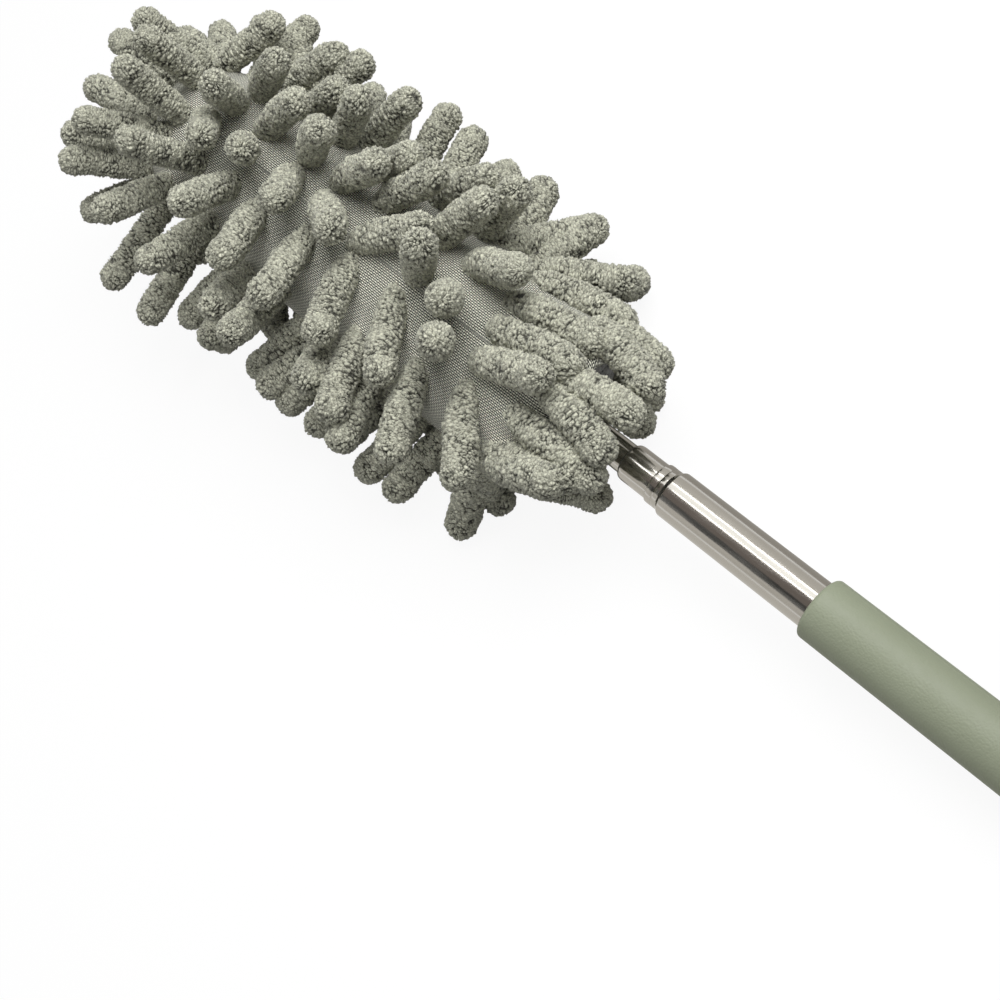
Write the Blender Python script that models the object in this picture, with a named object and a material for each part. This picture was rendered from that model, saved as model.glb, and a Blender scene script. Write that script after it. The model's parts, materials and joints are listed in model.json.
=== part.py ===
"""Chenille duster: telescopic steel pole, moulded handle, removable chenille cover on a foam core.

Lengths are in metres. Every piece is built in the pole's own frame: X runs along the pole from the
front edge of the handle (X = 0) towards the tip of the head, Z points up, and the pole's axis is
Y = Z = 0. The whole duster hangs on one empty, which tilts the pole as it lies on a table: it rests
on the rear end of the handle and on the fingers under the head.
"""

import math

import bmesh
import bpy
from mathutils import Matrix, Vector

# How the duster lies
POLE_RISE = math.radians(4.5)

# Handle
GRIP_LENGTH = 0.150
GRIP_WALL = 0.0020
GRIP_EDGE = 0.0015
CAP_FLANGE = 0.0048
CAP_SPIGOT = 0.0078
TAB_LENGTH = 0.0165
TAB_WIDTH = 0.0150
TAB_THICKNESS = 0.0050
TAB_CHAMFER = 0.0008
TAB_OVERLAP = 0.0020
EYE_RADIUS = 0.0040

# Outer tube
OUTER_RADIUS = 0.0080
OUTER_WALL = 0.0006
OUTER_FRONT = 0.0638
NECK_LENGTH = 0.0046
NECK_WALL = 0.00045
SHOULDER_LENGTH = 0.0018
SHOULDER_KNEE = 0.0010
SHOULDER_KNEE_DROP = 0.0003
NECK_GROOVE = 0.0003
NECK_GROOVE_PLACE = 0.0019

# Middle and inner tube: wall, room round the tube for its sleeve, and length that shows when closed
MIDDLE_WALL = 0.0005
MIDDLE_ROOM = 0.0009
MIDDLE_SHOWN = 0.0125
INNER_WALL = 0.0005
INNER_ROOM = 0.00075
INNER_SHOWN = 0.0207

# Tails of the two moving tubes
MOUTH_ROUND = 0.0020
SLEEVE_LENGTH = 0.0140
SLEEVE_SLIT = 0.0020
BEAD_LENGTH = 0.0015
TAIL_FLANGE = 0.0015
PLUG_SPIGOT = 0.0055
PLUG_HOLE = 0.0020
STOP_CLEARANCE = 0.00085
CAP_CLEARANCE = 0.00055

# Head
HEAD_LENGTH = 0.2250
COVER_HALF_WIDTH = 0.0305
COVER_HALF_HEIGHT = 0.0210
COVER_WALL = 0.0022
FRONT_ROUND = 0.0480
HEM_ROUND = 0.0060
HEM_SHRINK = 0.06
CORE_SETBACK = 0.0030
CORE_REAR_SHARE = 0.85
ELASTIC_RADIUS = 0.0006
ELASTIC_STATION = 0.0034
STRIP_WIDTH = 0.0090
STRIP_THICKNESS = 0.0012
TIP_CAP_LENGTH = 0.0140
TIP_CAP_WALL = 0.0018
TIP_CAP_SETBACK = 0.0090
SOCKET_WALL = 0.00195
SOCKET_LENGTH = 0.0200
SOCKET_FLANGE_RIM = 0.0015
SOCKET_FLANGE = 0.0020
SOCKET_BARE = 0.0040
SOCKET_DEPTH = 0.0120
SOCKET_FLOOR_GAP = 0.0010
NECK_PIN_RADIUS = 0.0010
NECK_PIN_OFFSET = 0.0060
RIVET_RADIUS = 0.0011
RIVET_PITCH = 0.0040

# Chenille fingers
FINGER_LENGTH = 0.0345
LONG_FINGER_LENGTH = 0.0430
FINGER_RADIUS = 0.0054
FINGER_ROOT_RADIUS = 0.0046
FINGER_SINK = 0.0030
FINGER_KNEE = 0.36
FINGER_ROUND_LENGTH = 0.0039
FINGER_ROUND_RADIUS = 0.0035
NECK_CLEARANCE = 0.0014

# Rows of fingers under the head, each as: place round the head in degrees, distance of its first finger
# from the cover's mouth, and how far the first fingers lean backwards for 1 sideways.
UNDER_ROWS = (
    (136, 0.0380, 2.0), (160, 0.0490, 2.0), (184, 0.0160, 1.1), (208, 0.0270, 2.2), (232, 0.0600, 1.1),
)
UNDER_PITCH = 0.0225
UNDER_END_GAP = 0.0090
UNDER_SWEEP_FRONT = 0.5
UNDER_LIFT = 0.0012
UNDER_PRESS = 0.0004
UNDER_CARRY = 0.1000

# Gaps
GAP = 0.0003
SLIDE_GAP = 0.00015
OVERCUT = 0.0010

# Radii that follow from the outer tube, each tube inside the last
GRIP_RADIUS = OUTER_RADIUS + GAP + GRIP_WALL
MIDDLE_RADIUS = OUTER_RADIUS - OUTER_WALL - MIDDLE_ROOM
INNER_RADIUS = MIDDLE_RADIUS - MIDDLE_WALL - INNER_ROOM
NECK_RADIUS = MIDDLE_RADIUS + SLIDE_GAP + NECK_WALL
SOCKET_RADIUS = INNER_RADIUS + GAP + SOCKET_WALL
SOCKET_FLANGE_RADIUS = SOCKET_RADIUS + SOCKET_FLANGE_RIM

# Tails that follow from the grip, each plug's flange just clear of the plug or cap behind it
OUTER_TAIL = GRIP_LENGTH - CAP_SPIGOT - CAP_CLEARANCE - TAIL_FLANGE - SLIDE_GAP
MIDDLE_TAIL = OUTER_TAIL - PLUG_SPIGOT - STOP_CLEARANCE - TAIL_FLANGE - SLIDE_GAP
INNER_TAIL = MIDDLE_TAIL - PLUG_SPIGOT - STOP_CLEARANCE - TAIL_FLANGE - SLIDE_GAP

# Fronts that follow from the outer tube's
MIDDLE_FRONT = OUTER_FRONT + MIDDLE_SHOWN
SOCKET_START = MIDDLE_FRONT + INNER_SHOWN
INNER_FRONT = SOCKET_START + SOCKET_DEPTH - SOCKET_FLOOR_GAP
HEAD_START = SOCKET_START + SOCKET_BARE

# Facets
ROUND_SIDES = 32
OVAL_SIDES = 36
FINGER_SIDES = 6
ROD_SIDES = 16
EYE_SIDES = 24
TAB_STEPS = 12
MOUTH_STEPS = 4
FRONT_STEPS = 7
ELASTIC_SIDES = 6
SLOPE_STEP = 0.0005

# Fingers that show from above, each as: distance from the cover's mouth in thousandths of the head's
# length, place round the head in degrees (0 on top, 90 at the left side, -90 at the right side), lean
# towards the tip and lean round the head in degrees.
TOP_FINGERS = (
    (933, -55, 42, 49), (956, -30, 68, 41), (898, -28, 11, 25), (911, -62, 84, -95),
    (916, -60, -29, -16), (853, -72, 11, -43), (871, 4, 13, 1), (947, 22, 75, 42),
    (880, 24, 35, 23), (911, 68, 26, -16), (778, 24, 12, 4), (818, -6, -45, 28),
    (796, -25, -24, 22), (791, -45, -35, 12), (800, -77, -40, 12), (747, -84, -34, 18),
    (720, -3, -42, 7), (716, -24, -42, -14), (613, -27, -34, 5), (702, -62, -42, 25),
    (613, -60, -28, 25), (596, -82, -30, 29), (827, 54, -4, 7), (693, 20, -17, 22),
    (604, -9, -36, 35), (524, -8, -50, 28), (702, 55, -2, 16), (618, 22, -27, 39),
    (622, 82, -30, -35), (507, 17, -20, 53), (520, 62, -16, 4), (413, 15, -30, 57),
    (404, 84, -32, -42), (342, 55, -33, 26), (311, 14, -40, 62), (213, 42, -29, 49),
    (529, -26, -44, -8), (511, -60, -44, 34), (444, -34, -42, -16), (409, -72, -45, 24),
    (311, -78, -28, 40), (329, -35, -35, -15), (422, -2, -52, -50), (302, -7, -23, -6),
    (271, -84, -18, -44), (249, -37, -54, 14), (240, -6, -33, 10), (209, 18, -33, -9),
    (196, -82, -50, -41), (164, -66, -71, -83), (147, -33, -82, -68), (36, -60, -74, 96),
    (133, -12, -79, -28), (124, 10, -61, -29), (27, -15, -86, -44), (22, 5, -84, 90),
    (22, 30, -88, 0), (116, 34, -41, 49), (40, 66, -62, -81), (36, 44, -53, -52),
    (311, 84, -29, -15), (71, -122, -58, -100), (53, 125, -62, 95),
)
LEFT_FINGERS = (
    (911, 100, 24, -26), (956, 70, 50, -5), (667, 98, 16, 6), (622, 112, 0, -34),
    (569, 104, 23, -6), (476, 96, 25, 15), (436, 112, 10, -40), (391, 106, 19, -13),
    (333, 116, 14, -32), (280, 104, 22, 5), (213, 100, 15, 5), (169, 114, 12, -15),
    (80, 100, 4, 32), (53, 84, 17, 85),
)
RIGHT_FINGERS = (
    (933, -90, 59, -29), (867, -100, 50, 10), (800, -98, 42, 10), (733, -100, 30, -5),
    (667, -100, 30, -20), (556, -96, 41, -13), (502, -94, 17, -3), (436, -98, 20, -1),
    (378, -104, 16, -4), (329, -98, 30, -10), (276, -100, 20, 1), (222, -96, -1, -17),
    (151, -98, -13, -31), (76, -92, -80, 110),
)
LONG_FINGERS = ((871, 100, -5, -14), (782, 104, -16, -26))


def clear_scene():
    """Removes what an opened file may hold."""
    for old in list(bpy.data.objects):
        bpy.data.objects.remove(old, do_unlink=True)


def make_material(name, colour, roughness, metallic=0.0):
    """A plain Principled material."""
    material = bpy.data.materials.new(name)
    material.use_nodes = True
    shader = material.node_tree.nodes["Principled BSDF"]
    shader.inputs["Base Color"].default_value = (*colour, 1.0)
    shader.inputs["Roughness"].default_value = roughness
    shader.inputs["Metallic"].default_value = metallic
    return material


def add_object(name, mesh, material, parent):
    """Links a finished mesh as one named sub-part."""
    mesh.materials.append(material)
    mesh.shade_smooth()
    mesh.set_sharp_from_angle(angle=math.radians(35))
    piece = bpy.data.objects.new(name, mesh)
    bpy.context.scene.collection.objects.link(piece)
    piece.parent = parent
    return piece


def mesh_from(vertices, faces, name):
    """Makes a mesh whose faces all point out."""
    mesh = bpy.data.meshes.new(name)
    mesh.from_pydata(vertices, [], faces)
    shape = bmesh.new()
    shape.from_mesh(mesh)
    bmesh.ops.recalc_face_normals(shape, faces=shape.faces)
    shape.to_mesh(mesh)
    shape.free()
    return mesh


def turned_mesh(name, profile, closed, sides=ROUND_SIDES):
    """Turns (x, radius) points about the X axis. A closed profile makes a ring, an open one a solid."""
    vertices = []
    rings = []
    for x, radius in profile:
        if radius < 1e-7:
            rings.append([len(vertices)])
            vertices.append((x, 0.0, 0.0))
            continue
        rings.append(list(range(len(vertices), len(vertices) + sides)))
        for i in range(sides):
            turn = 2 * math.pi * i / sides
            vertices.append((x, radius * math.sin(turn), radius * math.cos(turn)))
    pairs = list(zip(rings, rings[1:]))
    if closed:
        pairs.append((rings[-1], rings[0]))
    faces = []
    for a, b in pairs:
        for i in range(sides):
            j = (i + 1) % sides
            if len(a) == 1:
                faces.append((a[0], b[i], b[j]))
            elif len(b) == 1:
                faces.append((a[i], b[0], a[j]))
            else:
                faces.append((a[i], b[i], b[j], a[j]))
    return mesh_from(vertices, faces, name)


def turned(name, profile, closed, material, parent):
    """A turned sub-part."""
    return add_object(name, turned_mesh(name, profile, closed), material, parent)


def box_mesh(name, low, high):
    """A plain block between two corners."""
    corners = [(x, y, z) for x in (low[0], high[0]) for y in (low[1], high[1]) for z in (low[2], high[2])]
    faces = [(0, 1, 3, 2), (4, 6, 7, 5), (0, 4, 5, 1), (2, 3, 7, 6), (0, 2, 6, 4), (1, 5, 7, 3)]
    return mesh_from(corners, faces, name)


def rod_mesh(name, centre, radius, length, axis, sides=ROD_SIDES):
    """A round rod across the pole, along Y or Z."""
    shape = bmesh.new()
    bmesh.ops.create_cone(shape, cap_ends=True, segments=sides, radius1=radius, radius2=radius, depth=length)
    if axis == "Y":
        bmesh.ops.rotate(shape, verts=shape.verts, matrix=Matrix.Rotation(math.pi / 2, 3, "X"))
    bmesh.ops.translate(shape, verts=shape.verts, vec=centre)
    mesh = bpy.data.meshes.new(name)
    shape.to_mesh(mesh)
    shape.free()
    return mesh


def boolean(piece, tool_mesh, operation="DIFFERENCE", overlapping=False):
    """Cuts or joins a piece with a helper shape that the finished model doesn't hold."""
    tool = bpy.data.objects.new(piece.name + "_tool", tool_mesh)
    bpy.context.scene.collection.objects.link(tool)
    tool.parent = piece.parent
    tool.hide_render = True
    tool.display_type = "WIRE"
    step = piece.modifiers.new(operation.lower(), "BOOLEAN")
    step.operation = operation
    step.solver = "EXACT"
    step.use_self = overlapping
    step.object = tool


def arc(centre_x, centre_r, radius, start, end, steps):
    """Points of a rounded corner, angles in degrees measured from +X towards +radius."""
    points = []
    for i in range(steps + 1):
        turn = math.radians(start + (end - start) * i / steps)
        points.append((centre_x + radius * math.cos(turn), centre_r + radius * math.sin(turn)))
    return points


def handle_grip(material, parent):
    """Moulded sleeve over the rear of the outer tube, with rounded front and rear edges."""
    bore = OUTER_RADIUS + GAP
    rear = -GRIP_LENGTH
    edge = GRIP_EDGE
    profile = [(0.0, bore)]
    profile += arc(-edge, GRIP_RADIUS - edge, edge, 0, 90, 3)
    profile += arc(rear + edge / 3, GRIP_RADIUS - edge / 3, edge / 3, 90, 180, 1)
    profile.append((rear, bore))
    return turned("handle_grip", profile, True, material, parent)


def cap_tab_mesh():
    """Flat tongue with a round end, which carries the hanging eye."""
    back = -GRIP_LENGTH - GAP - CAP_FLANGE
    half = TAB_WIDTH / 2
    outline = [(back + TAB_OVERLAP, half), (back + TAB_OVERLAP, -half)]
    centre = back - TAB_LENGTH + half
    for i in range(TAB_STEPS + 1):
        turn = math.radians(-90 - 180 * i / TAB_STEPS)
        outline.append((centre + half * math.cos(turn), half * math.sin(turn)))
    shape = bmesh.new()
    low = [shape.verts.new((x, y, -TAB_THICKNESS / 2)) for x, y in outline]
    face = shape.faces.new(low)
    grown = bmesh.ops.extrude_face_region(shape, geom=[face])
    raised = [item for item in grown["geom"] if isinstance(item, bmesh.types.BMVert)]
    bmesh.ops.translate(shape, verts=raised, vec=(0, 0, TAB_THICKNESS))
    bmesh.ops.recalc_face_normals(shape, faces=shape.faces)
    rims = [edge for edge in shape.edges if abs(edge.verts[0].co.z - edge.verts[1].co.z) < 1e-7]
    bmesh.ops.bevel(shape, geom=rims, offset=TAB_CHAMFER, segments=1, affect="EDGES", clamp_overlap=True)
    bmesh.ops.remove_doubles(shape, verts=shape.verts, dist=1e-6)
    bmesh.ops.recalc_face_normals(shape, faces=shape.faces)
    mesh = bpy.data.meshes.new("tab")
    shape.to_mesh(mesh)
    shape.free()
    return mesh


def eye_centre_x():
    """Where the hanging eye sits along the pole."""
    return -GRIP_LENGTH - GAP - CAP_FLANGE - TAB_LENGTH + TAB_WIDTH / 2


def hang_cap(material, parent):
    """End cap: spigot in the grip's bore, flange over its end and a tongue with an eye."""
    front = -GRIP_LENGTH - GAP
    back = front - CAP_FLANGE
    spigot = OUTER_RADIUS
    edge = GRIP_EDGE
    profile = [(-GRIP_LENGTH + CAP_SPIGOT, 0.0), (-GRIP_LENGTH + CAP_SPIGOT, spigot), (front, spigot)]
    profile.append((front, GRIP_RADIUS))
    profile += arc(back + edge, GRIP_RADIUS - edge, edge, 90, 180, 4)
    profile.append((back, 0.0))
    piece = turned("hang_cap", profile, False, material, parent)
    boolean(piece, cap_tab_mesh(), "UNION")
    eye = rod_mesh("eye", (eye_centre_x(), 0, 0), EYE_RADIUS, TAB_THICKNESS * 2, "Z", EYE_SIDES)
    boolean(piece, eye)
    return piece


def outer_tube(material, parent):
    """Fixed steel tube with a drawn-in neck, a fine groove round the neck and a rounded lip."""
    bore = OUTER_RADIUS - OUTER_WALL
    lip = MIDDLE_RADIUS + SLIDE_GAP
    neck_start = OUTER_FRONT - NECK_LENGTH
    shoulder = neck_start - SHOULDER_LENGTH
    groove = neck_start + NECK_GROOVE_PLACE
    lip_round = (NECK_RADIUS - lip) / 2
    profile = [(-OUTER_TAIL, OUTER_RADIUS), (shoulder, OUTER_RADIUS)]
    profile.append((shoulder + SHOULDER_KNEE, OUTER_RADIUS - SHOULDER_KNEE_DROP))
    profile.append((neck_start, NECK_RADIUS))
    profile.append((groove - NECK_GROOVE, NECK_RADIUS))
    profile.append((groove, NECK_RADIUS - NECK_GROOVE / 2))
    profile.append((groove + NECK_GROOVE, NECK_RADIUS))
    profile += arc(OUTER_FRONT - lip_round, NECK_RADIUS - lip_round, lip_round, 90, -90, 4)
    profile.append((neck_start - OUTER_WALL, lip))
    profile.append((shoulder - OUTER_WALL, bore))
    profile.append((-OUTER_TAIL, bore))
    return turned("outer_tube", profile, True, material, parent)


def outer_tube_plug(material, parent):
    """Plug in the rear end of the outer tube, a stop for the middle tube."""
    bore = OUTER_RADIUS - OUTER_WALL - SLIDE_GAP
    end = -OUTER_TAIL - SLIDE_GAP
    profile = [(-OUTER_TAIL + PLUG_SPIGOT, PLUG_HOLE), (-OUTER_TAIL + PLUG_SPIGOT, bore), (end, bore)]
    profile += [(end, OUTER_RADIUS), (end - TAIL_FLANGE, OUTER_RADIUS), (end - TAIL_FLANGE, PLUG_HOLE)]
    return turned("outer_tube_plug", profile, True, material, parent)


def moving_tube(name, radius, wall, front, tail, next_radius, bead_radius, material, parent):
    """A sliding steel tube: drawn-in round mouth at the front, rolled bead behind which its sleeve sits."""
    bore = radius - wall
    bead = -tail + SLEEVE_LENGTH + 3 * SLIDE_GAP
    profile = [(-tail, radius), (bead, radius), (bead, bead_radius), (bead + BEAD_LENGTH, bead_radius)]
    profile += [(bead + BEAD_LENGTH, radius)]
    if next_radius:
        lip = next_radius + SLIDE_GAP
        start = front - MOUTH_ROUND
        drop = radius - lip - wall / 2
        for i in range(MOUTH_STEPS + 1):
            turn = math.radians(90 * i / MOUTH_STEPS)
            profile.append((start + MOUTH_ROUND * math.sin(turn), radius - drop * (1 - math.cos(turn))))
        profile += [(front, lip), (start, lip), (start - MOUTH_ROUND, bore)]
    else:
        profile += [(front, radius), (front, bore)]
    profile.append((-tail, bore))
    return turned(name, profile, True, material, parent)


def friction_sleeve(name, tube_radius, outer_bore, tail, material, parent):
    """Split spring sleeve that grips the bore of the tube outside it."""
    inner = tube_radius + SLIDE_GAP
    outer = outer_bore - SLIDE_GAP
    start = -tail + SLIDE_GAP
    profile = [(start, inner), (start, outer), (start + SLEEVE_LENGTH, outer), (start + SLEEVE_LENGTH, inner)]
    piece = turned(name, profile, True, material, parent)
    low = (start - SLEEVE_SLIT, -SLEEVE_SLIT / 2, 0.0)
    high = (start + SLEEVE_LENGTH + SLEEVE_SLIT, SLEEVE_SLIT / 2, 2 * outer)
    boolean(piece, box_mesh("slit", low, high))
    return piece


def tail_plug(name, bore, flange_radius, tail, material, parent):
    """Plug pressed in a tube's tail. Its flange keeps the friction sleeve on."""
    spigot = bore - SLIDE_GAP
    end = -tail - SLIDE_GAP
    profile = [(-tail + PLUG_SPIGOT, PLUG_HOLE), (-tail + PLUG_SPIGOT, spigot), (end, spigot)]
    profile += [(end, flange_radius), (end - TAIL_FLANGE, flange_radius), (end - TAIL_FLANGE, PLUG_HOLE)]
    return turned(name, profile, True, material, parent)


def outer_bore():
    return OUTER_RADIUS - OUTER_WALL


def middle_bore():
    return MIDDLE_RADIUS - MIDDLE_WALL


def inner_tube(material, parent):
    """Thinnest tube, with a cross hole for the neck pin."""
    bead = middle_bore() - SLIDE_GAP
    piece = moving_tube("inner_tube", INNER_RADIUS, INNER_WALL, INNER_FRONT, INNER_TAIL, 0.0, bead,
                        material, parent)
    hole = rod_mesh("pin_hole", (neck_pin_x(), 0, 0), NECK_PIN_RADIUS + SLIDE_GAP, 4 * INNER_RADIUS, "Y")
    boolean(piece, hole)
    return piece


def neck_pin_x():
    return SOCKET_START + NECK_PIN_OFFSET


def rivet_places():
    """The two rivets that hold the strip in the solid front of the socket."""
    first = SOCKET_START + SOCKET_DEPTH + RIVET_PITCH / 2
    return [first, first + RIVET_PITCH]


def neck_socket(material, parent):
    """Plastic socket: the inner tube enters from behind, the strip is riveted in a slot in front."""
    start = SOCKET_START
    end = start + SOCKET_LENGTH
    bore = INNER_RADIUS + GAP
    floor = start + SOCKET_DEPTH
    profile = [(floor, 0.0), (floor, bore), (start, bore), (start, SOCKET_FLANGE_RADIUS)]
    profile += [(start + SOCKET_FLANGE, SOCKET_FLANGE_RADIUS), (start + SOCKET_FLANGE, SOCKET_RADIUS)]
    profile += [(end - GRIP_EDGE, SOCKET_RADIUS), (end, SOCKET_RADIUS - GRIP_EDGE), (end, 0.0)]
    piece = turned("neck_socket", profile, False, material, parent)
    half_width = STRIP_WIDTH / 2 + GAP
    half_height = STRIP_THICKNESS / 2 + GAP
    low = (floor + GAP, -half_width, -half_height)
    boolean(piece, box_mesh("strip_slot", low, (end + GAP, half_width, half_height)))
    across = 4 * SOCKET_RADIUS
    boolean(piece, rod_mesh("pin_hole", (neck_pin_x(), 0, 0), NECK_PIN_RADIUS + SLIDE_GAP, across, "Y"))
    for x in rivet_places():
        boolean(piece, rod_mesh("rivet_hole", (x, 0, 0), RIVET_RADIUS + SLIDE_GAP, across, "Z"))
    return piece


def neck_pin(material, parent):
    """Cross pin through the socket and the inner tube."""
    length = 2 * (SOCKET_RADIUS - GAP)
    return add_object("neck_pin", rod_mesh("neck_pin", (neck_pin_x(), 0, 0), NECK_PIN_RADIUS, length, "Y"),
                      material, parent)


def strip_rivets(material, parent):
    """Two rivets through the socket and the strip."""
    length = 2 * (SOCKET_RADIUS - GAP)
    for number, x in enumerate(rivet_places(), start=1):
        name = f"strip_rivet_{number}"
        add_object(name, rod_mesh(name, (x, 0, 0), RIVET_RADIUS, length, "Z"), material, parent)


def strip_ends():
    """Start and end of the steel strip along the pole."""
    start = SOCKET_START + SOCKET_DEPTH + 2 * GAP
    return start, core_front() - TIP_CAP_SETBACK - TIP_CAP_WALL - GAP


def core_strip(material, parent):
    """Flat steel strip that can be bent by hand, drilled for its two rivets."""
    start, end = strip_ends()
    low = (start, -STRIP_WIDTH / 2, -STRIP_THICKNESS / 2)
    mesh = box_mesh("core_strip", low, (end, STRIP_WIDTH / 2, STRIP_THICKNESS / 2))
    piece = add_object("core_strip", mesh, material, parent)
    for x in rivet_places():
        boolean(piece, rod_mesh("rivet_hole", (x, 0, 0), RIVET_RADIUS + SLIDE_GAP, 4 * STRIP_THICKNESS, "Z"))
    return piece


def tip_cap_corners(grow):
    """Corners of the plastic cap on the strip's end, larger by grow all round."""
    end = core_front() - TIP_CAP_SETBACK
    wall = TIP_CAP_WALL + GAP
    half_width = STRIP_WIDTH / 2 + wall + grow
    half_height = STRIP_THICKNESS / 2 + wall + grow
    low = (end - TIP_CAP_LENGTH - grow, -half_width, -half_height)
    return low, (end + grow, half_width, half_height)


def strip_tip_cap(material, parent):
    """Soft cap that keeps the strip's end from poking through the foam."""
    low, high = tip_cap_corners(0.0)
    piece = add_object("strip_tip_cap", box_mesh("strip_tip_cap", low, high), material, parent)
    slot_low = (low[0] - GAP, -STRIP_WIDTH / 2 - GAP, -STRIP_THICKNESS / 2 - GAP)
    slot_high = (high[0] - TIP_CAP_WALL, STRIP_WIDTH / 2 + GAP, STRIP_THICKNESS / 2 + GAP)
    boolean(piece, box_mesh("cap_slot", slot_low, slot_high))
    return piece


def head_share(x, length, front_round):
    """Share of the full section at distance x from the mouth, for a head with a round front end."""
    straight = length - front_round
    if x > straight:
        t = min(1.0, (x - straight) / front_round)
        return math.sqrt(max(0.0, 1.0 - t * t))
    return 1.0


def cover_share(x):
    """Like head_share, for the outside of the cover, whose mouth is drawn in a little."""
    if x < HEM_ROUND:
        return 1.0 - HEM_SHRINK * (1.0 - x / HEM_ROUND) ** 2
    return head_share(x, HEAD_LENGTH, FRONT_ROUND)


def oval_mesh(name, sections, half_width, half_height, sides=OVAL_SIDES):
    """Solid of oval sections, given as (x, share of the full section). A share of 0 ends in a point."""
    vertices = []
    rings = []
    for x, share in sections:
        if share < 1e-4:
            rings.append([len(vertices)])
            vertices.append((x, 0.0, 0.0))
            continue
        rings.append(list(range(len(vertices), len(vertices) + sides)))
        for i in range(sides):
            turn = 2 * math.pi * i / sides
            vertices.append((x, half_width * share * math.sin(turn), half_height * share * math.cos(turn)))
    faces = [tuple(rings[0])]
    for a, b in zip(rings, rings[1:]):
        for i in range(sides):
            j = (i + 1) % sides
            if len(b) == 1:
                faces.append((a[i], b[0], a[j]))
            else:
                faces.append((a[i], b[i], b[j], a[j]))
    return mesh_from(vertices, faces, name)


def round_front(start, front, front_round, steps=FRONT_STEPS):
    """Sections from start to a rounded front end at front."""
    sections = [(start, 1.0)]
    straight = front - front_round
    for i in range(steps + 1):
        turn = math.pi / 2 * i / steps
        sections.append((straight + front_round * math.sin(turn), math.cos(turn)))
    return sections


def core_front():
    """Foremost point of the foam core."""
    return HEAD_START + HEAD_LENGTH - COVER_WALL - GAP


def bore_sections(start):
    """Sections of the cover's pocket."""
    return round_front(start, HEAD_START + HEAD_LENGTH - COVER_WALL, FRONT_ROUND - COVER_WALL)


def foam_half(name, side, material, parent):
    """Upper or lower half of the foam core, with room for the strip, the socket and the tip cap."""
    start = HEAD_START + CORE_SETBACK
    sections = round_front(start + HEM_ROUND, core_front(), FRONT_ROUND - COVER_WALL - GAP)
    sections.insert(0, (start, CORE_REAR_SHARE))
    half_width = COVER_HALF_WIDTH - COVER_WALL - GAP
    half_height = COVER_HALF_HEIGHT - COVER_WALL - GAP
    mesh = oval_mesh(name, sections, half_width, half_height)
    piece = add_object(name, mesh, material, parent)
    reach = 2 * COVER_HALF_WIDTH
    low = (0.0, -reach, -reach if side > 0 else -GAP / 2)
    high = (2 * (HEAD_START + HEAD_LENGTH), reach, GAP / 2 if side > 0 else reach)
    boolean(piece, box_mesh("other_half", low, high))
    socket = SOCKET_RADIUS + GAP
    pocket = [(start - GAP, 0.0), (start - GAP, socket)]
    pocket += [(SOCKET_START + SOCKET_LENGTH + GAP, socket), (SOCKET_START + SOCKET_LENGTH + GAP, 0.0)]
    boolean(piece, turned_mesh("socket_pocket", pocket, False))
    strip_start, strip_end = strip_ends()
    low = (strip_start, -STRIP_WIDTH / 2 - GAP, -STRIP_THICKNESS / 2 - GAP)
    high = (strip_end, STRIP_WIDTH / 2 + GAP, STRIP_THICKNESS / 2 + GAP)
    boolean(piece, box_mesh("strip_channel", low, high))
    low, high = tip_cap_corners(GAP)
    boolean(piece, box_mesh("tip_pocket", low, high))
    return piece


def hem_elastic(material, parent):
    """Elastic cord in the hem's channel, stretched round the core."""
    half_width = COVER_HALF_WIDTH - COVER_WALL + ELASTIC_RADIUS + SLIDE_GAP
    half_height = COVER_HALF_HEIGHT - COVER_WALL + ELASTIC_RADIUS + SLIDE_GAP
    x = HEAD_START + ELASTIC_STATION
    sides = ELASTIC_SIDES
    vertices = []
    faces = []
    for i in range(OVAL_SIDES):
        turn = 2 * math.pi * i / OVAL_SIDES
        centre = Vector((x, half_width * math.sin(turn), half_height * math.cos(turn)))
        out = Vector((0, half_height * math.sin(turn), half_width * math.cos(turn))).normalized()
        for k in range(sides):
            roll = 2 * math.pi * k / sides
            offset = out * math.cos(roll) + Vector((1, 0, 0)) * math.sin(roll)
            vertices.append(centre + offset * ELASTIC_RADIUS)
    for i in range(OVAL_SIDES):
        for k in range(sides):
            a = i * sides + k
            b = i * sides + (k + 1) % sides
            c = ((i + 1) % OVAL_SIDES) * sides + (k + 1) % sides
            d = ((i + 1) % OVAL_SIDES) * sides + k
            faces.append((a, b, c, d))
    return add_object("hem_elastic", mesh_from(vertices, faces, "hem_elastic"), material, parent)


def cover_point(station, angle):
    """Point on the cover's outside and its outward normal, from a station and a place round the head."""
    share = cover_share(station)
    y = COVER_HALF_WIDTH * share * math.sin(angle)
    z = COVER_HALF_HEIGHT * share * math.cos(angle)
    step = SLOPE_STEP
    slope = (cover_share(station + step) - cover_share(station - step)) / (2 * step)
    across = Vector((0, COVER_HALF_WIDTH * math.cos(angle), -COVER_HALF_HEIGHT * math.sin(angle)))
    swell_y = COVER_HALF_WIDTH * slope * math.sin(angle)
    swell_z = COVER_HALF_HEIGHT * slope * math.cos(angle)
    along = Vector((1, swell_y, swell_z))
    normal = across.cross(along).normalized()
    if normal.y * y + normal.z * z < 0:
        normal = -normal
    return Vector((HEAD_START + station, y, z)), normal


def table_height(x):
    """Height of the table's surface in the pole's frame, below the axis at x."""
    corner_x = -GRIP_LENGTH - GAP - CAP_FLANGE + GRIP_EDGE
    drop = (GRIP_RADIUS - GRIP_EDGE) + GRIP_EDGE / math.cos(POLE_RISE)
    return -drop - (x - corner_x) * math.tan(POLE_RISE)


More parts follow.
